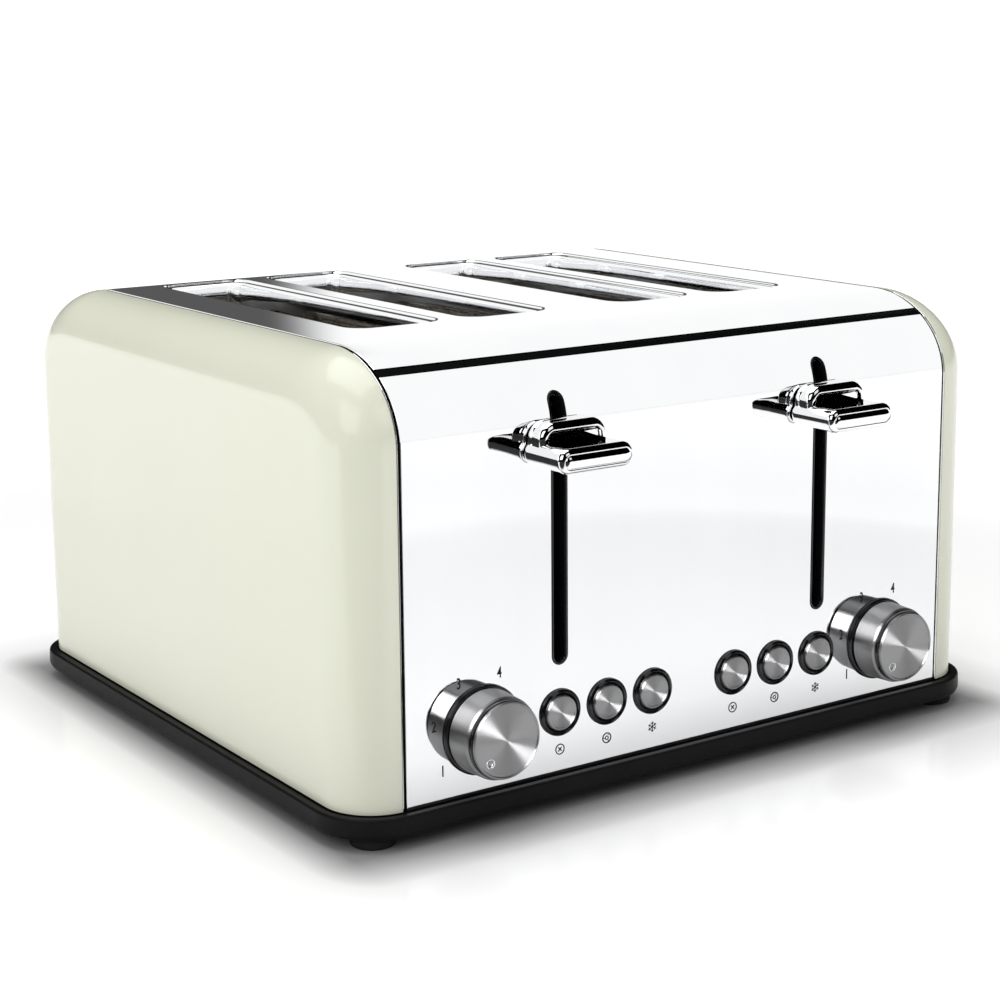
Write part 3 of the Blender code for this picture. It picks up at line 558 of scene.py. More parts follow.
# ------------------------------------------------------------------ housing
def make_side(word, side):
    """Deep-drawn enamelled shell, with a bright bead and a black gasket along its seam."""
    fillet = SIDE_FILLET
    lip = 0.0006
    steps = 16
    section = [(BODY_HALF_WIDTH, fillet + 0.001, 0.0)]
    for i in range(steps + 1):
        turn = math.pi / 2 * (1 - i / steps)
        x = max(SIDE_X + fillet * math.sin(turn), SIDE_X + lip + 0.0003)
        section.append((x, fillet * (1 - math.cos(turn)), 0.0))
    section += [(SIDE_X + lip + 0.0001, 0.0001, 0.0), (SIDE_X + lip, 0.0004, 0.0),
        (SIDE_X + lip, 0.003, SHEET), (SIDE_X + lip + SHEET, 0.003, SHEET),
        (SIDE_X + lip + SHEET, SHEET, SHEET)]
    inner = fillet - SHEET
    for i in range(1, steps + 1):
        turn = math.pi / 2 * i / steps
        section.append((max(SIDE_X + inner * math.sin(turn), SIDE_X + lip + SHEET + 0.0001),
            SHEET + inner * (1 - math.cos(turn)), SHEET))
    section.append((BODY_HALF_WIDTH - SHEET, fillet + 0.001, SHEET))
    rings = [[(side * x, y, z) for y, z in body_outline(inset, PANEL_BOTTOM + lift)]
        for x, inset, lift in section]
    piece(f"{word}_side_shell", loft(bmesh.new(), rings), "cream_enamel",
        stands_for=(f"{word}_side_panel",), sharp=40.0, even=True)

    gasket = ("gasket", "seam_black", STEEL_HALF_WIDTH + 0.00005, SIDE_X - 0.00005, 0.0007)
    bead = ("edge_bead", "chrome", SIDE_X, SIDE_X + lip - 0.00005, 0.0001)
    for name, finish, near, far, top in (gasket, bead):
        half = (far - near) / 2
        crown = min(0.0003, half)
        cross = [(near, top + crown), (near + crown * 0.4, top + crown * 0.3), (near + half, top),
            (far - crown * 0.4, top + crown * 0.3), (far, top + crown), (far, 0.0028), (near, 0.0028)]
        rings = [[(side * x, y, z) for y, z in body_outline(inset, PANEL_BOTTOM + lift)]
            for (x, inset), lift in zip(cross, (0, 0, 0, 0, 0, 0.001, 0.001))]
        piece(f"{word}_{name}", loft(bmesh.new(), rings, loop=True), finish)


def make_top_cover():
    """Polished cover with four pressed rims round the bread slots."""
    bm = bmesh.new()
    flat = BODY_DEPTH / 2 - BEND_Y
    middle, length = sum(BREAD_Y) / 2, (BREAD_Y[1] - BREAD_Y[0]) / 2
    # (how far outside the slot, how far below the top)
    rim = [(0.0042, 0.0), (0.0037, 0.00006), (0.0031, 0.0003), (0.0026, 0.00072), (0.0021, 0.001),
        (0.0015, 0.00112), (0.0009, 0.00122), (0.0004, 0.0015), (0.0001, 0.002), (0.0, 0.0026),
        (0.0, 0.01)]
    loops = [skin(bm, [lying(round_box(BREAD_HALF + out, length + out, BREAD_CORNER + out), side * x,
        middle, TOP_Z - down) for out, down in rim])[0] for side in (-1, 1) for x in BREAD_X]
    rows = across(STEEL_HALF_WIDTH)
    edge = rows[3][0]
    corners = ((-edge, -flat), (edge, -flat), (edge, flat), (-edge, flat))
    loops.append([bm.verts.new((x, BODY_Y + y, TOP_Z)) for x, y in corners])
    edges = []
    for ring in loops:
        for pair in zip(ring[-1:] + ring[:-1], ring):
            edges.append(bm.edges.get(pair) or bm.edges.new(pair))
    bmesh.ops.triangle_fill(bm, use_beauty=True, edges=edges)
    lip = bend_point(SEAM_HIGH, SHEET)
    for flip in (list, mirrored):
        skin(bm, [[(x, y, z) for y, z in flip([lip] + bend(SEAM_HIGH, math.pi / 2, drop, 14))]
            for x, drop in rows], closed=False)
    for side in (-1, 1):
        skin(bm, [[(side * x, BODY_Y + y, TOP_Z - drop) for y in (-flat, flat)]
            for x, drop in rows[3:] + [(STEEL_HALF_WIDTH, SHEET)]], closed=False)
    made = piece("top_sheet", bm, "polished_steel", stands_for=("top_cover",), sharp=40.0)
    if sum(face.normal.z * face.area for face in made.data.polygons) < 0:
        made.data.flip_normals()
    exact_normals(made)


def slot_outline(half_width, low, high, steps=10):
    """Outline of a lever slot with round ends."""
    top = high - half_width
    low_end = low + half_width
    count = 24
    heights = [low_end + (top - low_end) * i / count for i in range(count + 1)]
    right = [(half_width, z) for z in heights]
    cap = [(half_width * math.cos(math.pi * i / steps),
        top + half_width * math.sin(math.pi * i / steps)) for i in range(1, steps)]
    left = [(-half_width, z) for z in reversed(heights)]
    foot = [(-half_width * math.cos(math.pi * i / steps),
        low_end - half_width * math.sin(math.pi * i / steps)) for i in range(1, steps)]
    return right + cap + left + foot


def panel_path(drop):
    return [(FRONT_Y + drop, PANEL_BOTTOM)] + bend(0, SEAM_LOW, drop, 20)


def make_front_panel():
    made = piece("front_sheet", strip(panel_path, STEEL_HALF_WIDTH), "polished_steel",
        stands_for=("front_panel",))
    bm = bmesh.new()
    slot = slot_outline(SLOT_HALF + 0.0002, SLOT_LOW - 0.0002, SLOT_HIGH + 0.0002)
    for side in (-1, 1):
        loft(bm, [facing(slot, side * LEVER_X, FRONT_Y + y, 0.0) for y in (-0.01, 0.014)])
        revolve(bm, ((0.004, -0.01), (0.004, 0.01)), count=40, centre=(side * DIAL_X, FRONT_Y, DIAL_Z))
        for x in BUTTON_X:
            revolve(bm, ((0.0085, -0.01), (0.0085, 0.01)), count=40,
                centre=(side * x, FRONT_Y, BUTTON_Z))
    carve(made, bm)
    exact_normals(made)


def make_back_panel():
    made = piece("back_sheet", strip(lambda drop: mirrored(panel_path(drop)), STEEL_HALF_WIDTH),
        "polished_steel", stands_for=("back_panel",))
    bm = bmesh.new()
    half = (TRAY_X[1] - TRAY_X[0]) / 2 + 0.001
    height = (TRAY_LIP_TOP - TRAY_FLOOR) / 2 + 0.001
    for side in (-1, 1):
        loft(bm, [facing(round_box(half, height, 0.0015, 4), side * sum(TRAY_X) / 2, BACK_Y + y,
            (TRAY_LIP_TOP + TRAY_FLOOR) / 2) for y in (-0.01, 0.01)])
    revolve(bm, ((GLAND_NECK + 0.0003, -0.01), (GLAND_NECK + 0.0003, 0.01)), count=40,
        centre=(0.0, BACK_Y, GLAND_Z))
    carve(made, bm)
    exact_normals(made)


def make_trims():
    def path(drop):
        gap, below = 0.008, 0.0004
        return bend(SEAM_LOW + gap, SEAM_HIGH - gap, below + drop, 6)

    for name, section in (("front", path), ("back", lambda drop: mirrored(path(drop)))):
        piece(f"{name}_seam_strip", strip(section, STEEL_HALF_WIDTH), "seam_black",
            stands_for=(f"{name}_seam_trim",))


def make_base():
    """Moulded tray with a rounded lip and a groove where the panels stand in it."""
    half_x = BODY_HALF_WIDTH + BASE_LIP
    half_y = BODY_DEPTH / 2 + BASE_LIP
    low, top = FOOT_HEIGHT, BASE_TOP
    rim, floor = 0.018, FOOT_HEIGHT + 0.0025
    section = rounded([(0.004, low), (0.0008, low + 0.0002), (0.0, low + 0.002), (0.0002, top),
        (0.0032, top), (0.0036, top - 0.0012), (0.0052, top - 0.0012), (0.0056, top), (rim, top),
        (rim, floor)], (0.0, 0.0008, 0.0008, 0.001, 0.0003, 0.0002, 0.0002, 0.0003, 0.0004, 0.0),
        steps=4)
    rings = [lying(round_box(half_x - inset, half_y - inset, BASE_CORNER - inset, 12), 0.0, BODY_Y, z)
        for inset, z in section]
    made = piece("base_moulding", loft(bmesh.new(), rings), "black_plastic", stands_for=("base_tray",),
        sharp=40.0, even=True)
    bm = bmesh.new()
    for side in (-1, 1):
        for row in range(9):
            y = BODY_Y - 0.064 + 0.016 * row
            loft(bm, [lying(round_box(0.03, 0.002, 0.00195, 4), side * 0.062, y, z)
                for z in (low - 0.002, floor + 0.002)])
    carve(made, bm)
    made.data.shade_smooth()
    made.data.set_sharp_from_angle(angle=math.radians(40))


def make_feet():
    radius = 0.0085
    for side_name, x in (("left", -FOOT_X), ("right", FOOT_X)):
        for end_name, y in (("front", -FOOT_Y), ("back", FOOT_Y)):
            turned(f"{end_name}_{side_name}_pad", [(0.0, 0.0012), (0.003, 0.0012), (0.0036, 0.0),
                (radius - 0.0002, 0.0), (radius, 0.002), (radius - 0.0008, 0.0042), (0.0, 0.0042)],
                (0.0, 0.0005, 0.0004, 0.0009, 0.0006, 0.0003, 0.0), "rubber", count=48, axis="Z",
                stands_for=(f"{end_name}_{side_name}_foot",), origin=(x, BODY_Y + y, 0.0))


def make_slot_liner(word, side):
    """Glossy liner of a lever slot, rounded where it meets the polished panel."""
    back = 0.008
    section = ((0.0, None), (0.0, 0.0002), (0.0001, -0.0001), (0.0004, -0.00025), (0.0008, -0.0001),
        (0.0011, 0.0004), (0.0012, 0.001), (0.0012, None))
    rings = []
    for inset, proud in section:
        outline = slot_outline(SLOT_HALF - inset, SLOT_LOW + inset, SLOT_HIGH - inset)
        rings.append([(side * LEVER_X + a, FRONT_Y + back if proud is None else surface_y(z) + proud, z)
            for a, z in outline])
    piece(f"{word}_lever_slot_surround", loft(bmesh.new(), rings, loop=True), "gloss_black",
        stands_for=(f"{word}_slot_liner",), sharp=50.0)


# ------------------------------------------------------------------ levers
def make_handle(word, side):
    """Chromed paddle with a domed pad on its end and a hump over its root."""
    x = side * LEVER_X
    half_w, half_h = 0.0163, 0.0046
    reach = LEVER_REACH
    section = ((0.0014, 0.0007), (0.0006, 0.0009), (0.0001, 0.0016), (0.0, 0.0026), (0.0003, 0.012),
        (0.0002, 0.0195), (0.0, reach - 0.0034), (0.00005, reach - 0.0027), (0.0003, reach - 0.0021),
        (0.0008, reach - 0.0015), (0.0014, reach - 0.00105), (0.0017, reach - 0.00095),
        (0.0019, reach - 0.0011), (0.0021, reach - 0.0011), (0.0023, reach - 0.0008),
        (0.0029, reach - 0.00035), (0.0036, reach - 0.0001), (0.0043, reach))
    rings = [facing(round_box(half_w - inset, half_h - inset, half_h - inset - 0.0001, 12), x,
        FRONT_Y - out, LEVER_Z) for inset, out in section]
    made = piece(f"{word}_handle", loft(bmesh.new(), rings), "chrome", f"{word}_lever",
        (f"{word}_lever_handle",), sharp=50.0)

    low, high = LEVER_Z - 0.001, LEVER_Z + half_h + 0.007
    middle, rise = (low + high) / 2, (high - low) / 2
    section = ((0.0012, 0.0008), (0.0005, 0.001), (0.0, 0.0018), (0.0, 0.003), (0.0004, 0.0034),
        (0.0004, 0.0039), (0.0, 0.0043), (0.0, 0.0076), (0.0001, 0.0083), (0.0005, 0.009),
        (0.0011, 0.0095), (0.0018, 0.00985), (0.0025, 0.01), (0.003, 0.00995), (0.0034, 0.0097),
        (0.0037, 0.0093), (0.004, 0.0091), (0.0045, 0.009))
    rings = []
    for inset, out in section:
        outline = []
        for a, b in round_box(0.0152 - inset, rise - inset, 0.0056 - inset, 12):
            lean = (b + rise) / (2 * rise)
            outline.append((a * (1.0 - 0.1 * lean * lean), b))
        rings.append(facing(outline, x, FRONT_Y - out, middle))
    carve(made, loft(bmesh.new(), rings), "UNION")
    bm = bmesh.new()
    block(bm, (x - 0.0013, FRONT_Y - 0.0145, LEVER_Z - 0.0033),
        (x + 0.0013, FRONT_Y + 0.002, LEVER_Z + 0.0033))
    carve(made, bm)
    made.data.shade_smooth()
    made.data.set_sharp_from_angle(angle=math.radians(50))
    weighted = made.modifiers.new("normals", "WEIGHTED_NORMAL")
    weighted.keep_sharp = True


def make_lever_parts(word, side):
    x = side * LEVER_X
    body = f"{word}_lever"
    copy_of(f"{word}_carriage", f"{word}_lever_carriage", "zinc_sheet", body)
    turned(f"{word}_rod", [(0.0, 0.0), (ROD_RADIUS, 0.0), (ROD_RADIUS, 0.15), (0.0, 0.15)], 0.0005,
        "steel_wire", count=32, axis="Z", stands_for=(f"{word}_guide_rod",),
        origin=(x, ROD_Y, PANEL_BOTTOM))

    turns, per_turn, wire, radius = 9, 28, 0.0006, 0.0052
    bottom = PANEL_BOTTOM + wire
    top = LEVER_Z - CARRIAGE_HALF - 0.0003 - wire
    count = turns * per_turn
    path = []
    for i in range(count + 1):
        turn = 2 * math.pi * i / per_turn
        share = i / count
        eased = share if 0.09 < share < 0.91 else (share * 0.35 if share < 0.5
                                                   else 1 - (1 - share) * 0.35)
        path.append((x + radius * math.cos(turn), ROD_Y + radius * math.sin(turn),
            bottom + (top - bottom) * eased))
    for _ in range(6):
        path = [path[0]] + [(p[0], p[1], (a[2] + 2 * p[2] + b[2]) / 4)
            for a, p, b in zip(path, path[1:], path[2:])] + [path[-1]]
    spring = piece(f"{word}_coil_spring", tube(bmesh.new(), path, wire, 8), "steel_wire",
        stands_for=(f"{word}_return_spring",), sharp=60.0)
    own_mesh(spring)

    magnet = (side * (LEVER_X + MAGNET_OFFSET), ROD_Y, PANEL_BOTTOM)
    turned(f"{word}_magnet_coil", [(0.0036, 0.0062), (0.0074, 0.0062), (0.0074, 0.0298),
        (0.0036, 0.0298)], (0.0, 0.0006, 0.0006, 0.0), "copper_coil", count=48, steps=3, closed=True,
        axis="Z", stands_for=(f"{word}_electromagnet",), origin=magnet)
    bm = bmesh.new()
    for low, high in (((-0.0085, -0.0085, 0.0), (0.0085, 0.0085, 0.003)),
            ((-0.0034, -0.0034, 0.003), (0.0034, 0.0034, 0.044)),
            ((-0.0082, -0.0082, 0.005), (0.0082, 0.0082, 0.006)),
            ((-0.0082, -0.0082, 0.03), (0.0082, 0.0082, 0.031))):
        block(bm, low, high)
    piece(f"{word}_magnet_core", bm, "zinc_sheet", origin=magnet, bevel=0.0003)


def make_rack(word, place, x):
    """Bread carrier: an upright spine with stamped cross tabs that the slice stands on."""
    body = f"{word}_lever"
    front, back = CROSSBAR_Y + 0.0023, CHAMBER[1] - 0.004
    bm = bmesh.new()
    outline = [(front, RACK_TOP - 0.012), (back - 0.004, RACK_TOP - 0.012), (back, RACK_TOP - 0.007),
        (back, RACK_TOP - 0.001), (front, RACK_TOP - 0.001)]
    holes = [[(front + 0.02 + 0.024 * i + a, RACK_TOP - 0.0068 + b)
        for a, b in round_box(0.007, 0.0022, 0.0021, 4)] for i in range(6)]
    plate(bm, rounded(outline, 0.001, closed=True, steps=3), holes, lambda a, b: (x - 0.0005, a, b),
        (0.001, 0.0, 0.0))
    ribs = 9
    for i in range(ribs):
        y = CHAMBER[0] + 0.006 + (back - CHAMBER[0] - 0.009) * i / (ribs - 1)
        path = rounded([(-0.01, RACK_TOP + 0.0012), (-0.0085, RACK_TOP - 0.0008),
            (0.0085, RACK_TOP - 0.0008), (0.01, RACK_TOP + 0.0012)], 0.0008)
        tube(bm, [(x + a, y, b) for a, b in path], 0.0008, 8)
    piece(f"{word}_{place}_carrier", bm, "steel_wire", body, (f"{word}_{place}_rack",), bevel=0.0001)


def make_guard(word, place, facing_word, inner_face, away):
    """Wire guard beside a slot: a bent frame with upright wires."""
    x = inner_face + away * GUARD_THICK / 2
    front, back = CHAMBER[0] + 0.0013, CHAMBER[1] - 0.0013
    low, high = GUARD_Z[0] + 0.0008, GUARD_Z[1] - 0.0008
    bm = bmesh.new()
    frame_path = rounded([(front, low), (back, low), (back, high), (front, high)], 0.004, closed=True,
        steps=5)
    tube(bm, [(x, a, b) for a, b in frame_path], 0.00075, 8, closed=True)
    bars = 13
    for i in range(1, bars):
        y = front + (back - front) * i / bars
        tube(bm, [(x, y, low), (x, y, high)], 0.00055, 8)
    for share in (0.33, 0.67):
        z = low + (high - low) * share
        tube(bm, [(x + away * 0.0001, front, z), (x + away * 0.0001, back, z)], 0.00055, 8)
    piece(f"{word}_{place}_{facing_word}_wires", bm, "steel_wire", f"{word}_{facing_word}_guards",
        (f"{word}_{place}_{facing_word}_guard",))


def make_heater(word, place, x):
    """Mica board with notched ends, wound with heating ribbon."""
    bm = bmesh.new()
    front, back = CHAMBER[0] + 0.0002, CHAMBER[1] - 0.0002
    low, high = HEATER_Z
    rows = 14
    depth = 0.0012
    outline = [(front, low)]
    for i in range(rows):
        z = low + (high - low) * (i + 0.5) / rows
        outline += [(front, z - 0.0016), (front + depth, z - 0.0012), (front + depth, z + 0.0012),
            (front, z + 0.0016)]
    outline += [(front, high)]
    other = [(front + back - y, z) for y, z in reversed(outline)]
    plate(bm, outline + other, [], lambda a, b: (x - 0.0004, a, b), (0.0008, 0.0, 0.0))
    piece(f"{word}_{place}_heater_board", bm, "mica_board", stands_for=(f"{word}_{place}_heater",))
    bm = bmesh.new()
    for i in range(rows):
        z = low + (high - low) * (i + 0.5) / rows
        path = round_box(0.0007, (back - front) / 2 - depth, 0.0004, 2)
        inside = round_box(0.00055, (back - front) / 2 - depth - 0.00015, 0.0003, 2)
        middle = (front + back) / 2
        rings = [[(x + a, middle + b, z + rise + 0.0006 * b / 0.08) for a, b in shape]
            for shape, rise in ((path, -0.0008), (path, 0.0008), (inside, 0.0008), (inside, -0.0008))]
        loft(bm, rings, loop=True)
    piece(f"{word}_{place}_heater_winding", bm, "heater_ribbon")


# ------------------------------------------------------------------ controls
def make_dial(word, side):
    """Turned dial: brushed barrel, a gloss black ring whose black is a painted dark reflection, spun
    face with a bright rim and a dimple.
    """
    centre = (side * DIAL_X, FRONT_Y, DIAL_Z)
    body = f"{word}_dial"
    reach = DIAL_REACH
    turned(f"{word}_dial_barrel", [(0.0, -0.0018), (0.0152, -0.0018), (0.0157, -0.0024),
        (0.0153, -0.0122), (0.0147, -0.0129), (0.0141, -0.0129), (0.0, -0.0129)],
        (0.0, 0.0001, 0.0005, 0.0003, 0.0003, 0.0, 0.0), "spun_steel", body, 96, stands_for=(body,),
        origin=centre, sharp=35.0)
    # gloss black ring between barrel and face: its black is a painted dark reflection standing in for a
    # metal chamfer, and its gloss gives real highlights
    turned(f"{word}_dial_ring", [(0.0, -0.0128), (0.014, -0.0128), (0.0145, -0.0132), (0.0145, -0.0146),
        (0.014, -0.015), (0.0, -0.015)], (0.0, 0.0002, 0.0003, 0.0004, 0.0002, 0.0), "gloss_black",
        body, 96, origin=centre)
    face = turned(f"{word}_dial_face", [(0.0, -0.0149), (0.0141, -0.0149), (0.0142, -0.0154),
        (0.0138, -reach), (0.0134, -reach), (0.0131, -reach + 0.0004), (0.0, -reach + 0.0004)],
        (0.0, 0.0001, 0.0003, 0.0002, 0.0001, 0.0002, 0.0), "spun_steel", body, 96, origin=centre,
        sharp=30.0)
    cup_x, cup_z = polar(DIMPLE_TURN, DIMPLE_RADIUS)
    bm = bmesh.new()
    revolve(bm, rounded([(0.0, -reach + 0.0009), (0.0007, -reach + 0.00085), (0.0012, -reach + 0.0006),
        (0.0015, -reach + 0.0001), (0.0016, -0.018), (0.0, -0.018)], 0.0002), count=32,
        centre=(centre[0] + cup_x, FRONT_Y, centre[2] + cup_z))
    face.parent = None
    carve(face, bm)
    exact_normals(face, lambda point: Vector((0.0, -1.0, 0.0)))
    face.location = centre
    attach(face, body)
    ring = rounded([(0.0015, -reach + 0.0006), (0.00175, -reach + 0.0006), (0.00175, -reach + 0.0002),
        (0.0015, -reach + 0.0002)], 0.0001, closed=True, steps=2)
    piece(f"{word}_dial_marker", revolve(bmesh.new(), ring, "Y", 32, True, (cup_x, 0.0, cup_z)),
        "chrome", body, origin=centre)
    turned(f"{word}_dial_plate", [(0.0036, -0.0003), (COLLAR_RADIUS, -0.0003), (COLLAR_RADIUS, -0.0007),
        (COLLAR_RADIUS - 0.0006, -0.0014), (0.0036, -0.0015)], (0.0, 0.0002, 0.0006, 0.0006, 0.0),
        "gloss_black", count=96, closed=True, stands_for=(f"{word}_dial_collar",), origin=centre)
    turned(f"{word}_dial_shaft", [(0.0, 0.0127), (0.003, 0.0127), (0.003, -0.0023), (0.0, -0.0023)],
        0.0003, "zinc_sheet", body, 32, origin=centre)


def make_buttons(word, side):
    middle = side * BUTTON_X[1]
    outline = round_box(BUTTON_X[1] - BUTTON_X[0] + 0.0105, 0.01, 0.004, 6)
    holes = [[Vector((side * x - middle, 0.0)) + polar(7.5 * i, 0.0076) for i in range(48)]
        for x in BUTTON_X]
    strip_back = plate(bmesh.new(), outline, holes, lambda a, b: (middle + a, FRONT_Y + 0.0013,
        BUTTON_Z + b), (0.0, 0.0011, 0.0))
    piece(f"{word}_bezel_strip", strip_back, "gloss_black", stands_for=(f"{word}_button_bezels",))
    bore, cap = BUTTON_RADIUS + 0.0003, BUTTON_RADIUS
    for x, action in zip(BUTTON_X, BUTTON_NAMES[side]):
        centre = (side * x, FRONT_Y, BUTTON_Z)
        body = f"{word}_{action}_button"
        turned(f"{word}_{action}_bezel", [(bore, 0.0022), (0.0082, 0.0022), (0.0082, -0.0002),
            (BEZEL_RADIUS, -0.0002), (BEZEL_RADIUS - 0.0001, -0.0009), (BEZEL_RADIUS - 0.001, -0.0016),
            (bore + 0.001, -0.0017), (bore + 0.0004, -0.0011), (bore, -0.0002)],
            (0.0, 0.0, 0.0, 0.0002, 0.0007, 0.0009, 0.0006, 0.0005, 0.0002), "gloss_black", count=72,
            steps=6, closed=True, origin=centre, sharp=50.0)
        turned(f"{word}_{action}_cap", [(0.0, 0.0045), (cap, 0.0045), (cap, -0.0012),
            (cap - 0.0004, -0.0017), (cap - 0.0009, -0.0017), (cap - 0.0012, -0.0015), (0.0, -0.0014)],
            (0.0, 0.0002, 0.0003, 0.0002, 0.0001, 0.0001, 0.0), "spun_steel", body, 72, 3,
            stands_for=(body,), origin=centre, sharp=28.0)
        turned(f"{word}_{action}_stem", [(0.0, 0.0102), (0.002, 0.0102), (0.002, 0.0044),
            (0.0, 0.0044)], 0.0002, "black_plastic", body, 24, origin=centre)


def ink_shape(name, bm, x, z):
    piece(name, bm, "black_ink", origin=(x, FRONT_Y, z), sharp=40.0)


def bar(bm, start, end, width):
    """A straight printed line with square ends, facing the front."""
    start, end = Vector(start), Vector(end)
    along = (end - start).normalized()
    across = Vector((-along.y, along.x)) * width / 2
    outline = [start - across, end - across, end + across, start + across]
    loft(bm, [[(p.x, y, p.y) for p in outline] for y in (-0.0001, -0.00002)])


def ring_mark(bm, outer, inner, count=40, start=0.0, sweep=360.0):
    """A printed ring, or part of one, facing the front."""
    steps = max(6, int(count * sweep / 360))
    full = sweep >= 360
    rings = []
    for i in range(steps if full else steps + 1):
        turn = math.radians(start + sweep * i / steps)
        rings.append([(r * math.cos(turn), y, r * math.sin(turn))
            for r, y in ((inner, -0.00002), (outer, -0.00002), (outer, -0.0001), (inner, -0.0001))])
    loft(bm, rings, loop=full)


def make_marks(word, side):
    """Printed numerals round a dial and small pictograms under the buttons."""
    upright = Matrix.Rotation(math.pi / 2, 4, "X") @ Matrix.Diagonal((0.66, 1.0, 1.0, 1.0))
    for number in range(4):
        text = bpy.data.curves.new(f"{word}_numeral", "FONT")
        text.body = str(number + 1)
        text.size, text.extrude, text.offset = 0.0058, 0.00004, 0.00009
        text.align_x = text.align_y = "CENTER"
        helper = link("numeral_text", text)
        bm = bmesh.new()
        bm.from_mesh(settled_mesh(helper))
        bpy.data.objects.remove(helper, do_unlink=True)
        bmesh.ops.transform(bm, matrix=Matrix.Translation((0.0, -0.00006, 0.0)) @ upright,
            verts=bm.verts)
        spot = polar(216 - 49 * number, 0.0211)
        ink_shape(f"{word}_numeral_{number + 1}", bm, side * DIAL_X + spot.x, DIAL_Z + spot.y)
    for x, action in zip(BUTTON_X, BUTTON_NAMES[side]):
        bm = bmesh.new()
        size = 0.0021
        if action == "cancel":
            ring_mark(bm, size, size - 0.0004)
            for turn in (45, 135):
                end = polar(turn, 0.0011)
                bar(bm, -end, end, 0.0004)
        elif action == "bagel":
            ring_mark(bm, size, size - 0.00045)
            ring_mark(bm, 0.00085, 0.0005, 24)
            for turn in (60, 180, 300):
                spot = polar(turn, 0.0013)
                bar(bm, spot - Vector((0.0002, 0.0)), spot + Vector((0.0002, 0.0)), 0.00032)
        else:
            for turn in range(0, 360, 60):
                out = polar(turn + 90)
                bar(bm, out * 0.00012, out * size, 0.00032)
                for lean in (-55, 55):
                    bar(bm, out * 0.00115, out * 0.00115 + polar(turn + 90 + lean, 0.00075), 0.00028)
        ink_shape(f"{word}_{action}_mark", bm, side * x, BASE_TOP + 0.0095)


# ------------------------------------------------------------------ inside and back
def make_inside():
    for name in ("front_chassis_plate", "back_chassis_plate"):
        copy_of(name.replace("_plate", "_sheet"), name, "zinc_sheet")
    copy_of("control_circuit", "control_board", "circuit_board")
    bm = bmesh.new()
    for i in range(8):
        x = -0.098 + 0.028 * i
        block(bm, (x - 0.003, BOARD_Y + 0.0017, BASE_TOP + 0.014),
            (x + 0.003, BOARD_Y + 0.0077, BASE_TOP + 0.021))
        revolve(bm, rounded([(0.0, 0.0), (0.0028, 0.0), (0.0028, 0.007), (0.0, 0.007)], 0.0004), "Y",
            20, centre=(x + 0.012, BOARD_Y + 0.0017, BASE_TOP + 0.03))
    piece("circuit_parts", bm, "gloss_black", bevel=0.0003)


def make_crumb_tray(word, side):
    """Shallow pan with a folded rim and a rolled grip outside the back."""
    body = f"{word}_crumb_tray"
    middle = side * sum(TRAY_X) / 2
    half = (TRAY_X[1] - TRAY_X[0]) / 2
    front, back = CHAMBER[0] + 0.002, BACK_Y + 0.0002
    y, run = (front + back) / 2, (back - front) / 2
    section = [(0.001, TRAY_FLOOR + 0.0001), (0.0, TRAY_FLOOR + 0.0012), (0.0, TRAY_LIP_TOP - 0.0003),
        (0.0003, TRAY_LIP_TOP), (0.0012, TRAY_LIP_TOP), (0.0014, TRAY_LIP_TOP - 0.0003),
        (0.001, TRAY_LIP_TOP - 0.0012), (0.0011, TRAY_FLOOR + 0.0022), (0.0026, TRAY_FLOOR + 0.001)]
    rings = [lying(round_box(half - inset, run - inset, 0.003, 5), middle, y, z)
        for inset, z in section]
    piece(f"{word}_crumb_pan", loft(bmesh.new(), rings), "zinc_sheet", body, (f"{word}_crumb_tray",),
        even=True)
    bm = bmesh.new()
    plate_half = half + 0.003
    low, high = BASE_TOP + 0.0008, TRAY_LIP_TOP + 0.003
    section = [(0.0, 0.0004), (0.0, 0.0016), (0.0004, 0.0022), (0.0012, 0.0023)]
    rings = [facing(round_box(plate_half - inset, (high - low) / 2 - inset, 0.002, 5), middle,
        BACK_Y + out, (low + high) / 2) for inset, out in section]
    loft(bm, rings)
    piece(f"{word}_crumb_front", bm, "polished_steel", body, even=True)
    section = [(0.0005, 0.0022), (0.0, 0.0027), (0.0, 0.0066), (0.0003, 0.0072), (0.0009, 0.0075)]
    rings = [facing(round_box(0.03 - inset, 0.0019 - inset, 0.001, 4), middle, BACK_Y + out,
        TRAY_FLOOR + 0.0035) for inset, out in section]
    piece(f"{word}_crumb_grip", loft(bmesh.new(), rings), "black_plastic", body, even=True)


def make_gland():
    """Ribbed strain relief at the lead's inlet."""
    points = [(0.0036, -0.006), (GLAND_NECK, -0.006), (GLAND_NECK, 0.0003), (0.009, 0.0003),
        (0.009, 0.002), (0.0078, 0.0026), (0.0062, 0.0028)]
    for i in range(3):
        start = 0.003 + 0.0013 * i
        wide = 0.006 - 0.0003 * i
        points += [(wide, start), (wide, start + 0.0006), (wide - 0.0009, start + 0.0007),
            (wide - 0.0009, start + 0.0012)]
    points += [(0.005, 0.007), (0.0036, 0.007)]
    profile = rounded(points, 0.0002, closed=True, steps=2)
    piece("lead_inlet", revolve(bmesh.new(), profile, count=48, loop=True), "black_plastic",
        stands_for=("cord_gland",), origin=(0.0, BACK_Y, GLAND_Z), sharp=45.0)


# ------------------------------------------------------------------ stage
CAMERA_PLACE = Vector((-0.5003, -0.7343, 0.2862))
CAMERA_TURN = Vector((1.7047, -0.5332, 0.4253))
CAMERA_LENS = 76.6
AMBIENT = (0.8, 0.8, 0.805)       # even light of the studio
SKY_DARK = 0.05                   # unlit parts of the studio, as gloss sees them
SKY_WHITE = 1.06                  # its white cloths
WHITE = (1.0, 1.0, 1.0, 1.0)
CLOTH_RADIUS = 4.0
CLOTH_LOW = 0.03                  # how low the cloth hangs, as a part of its radius


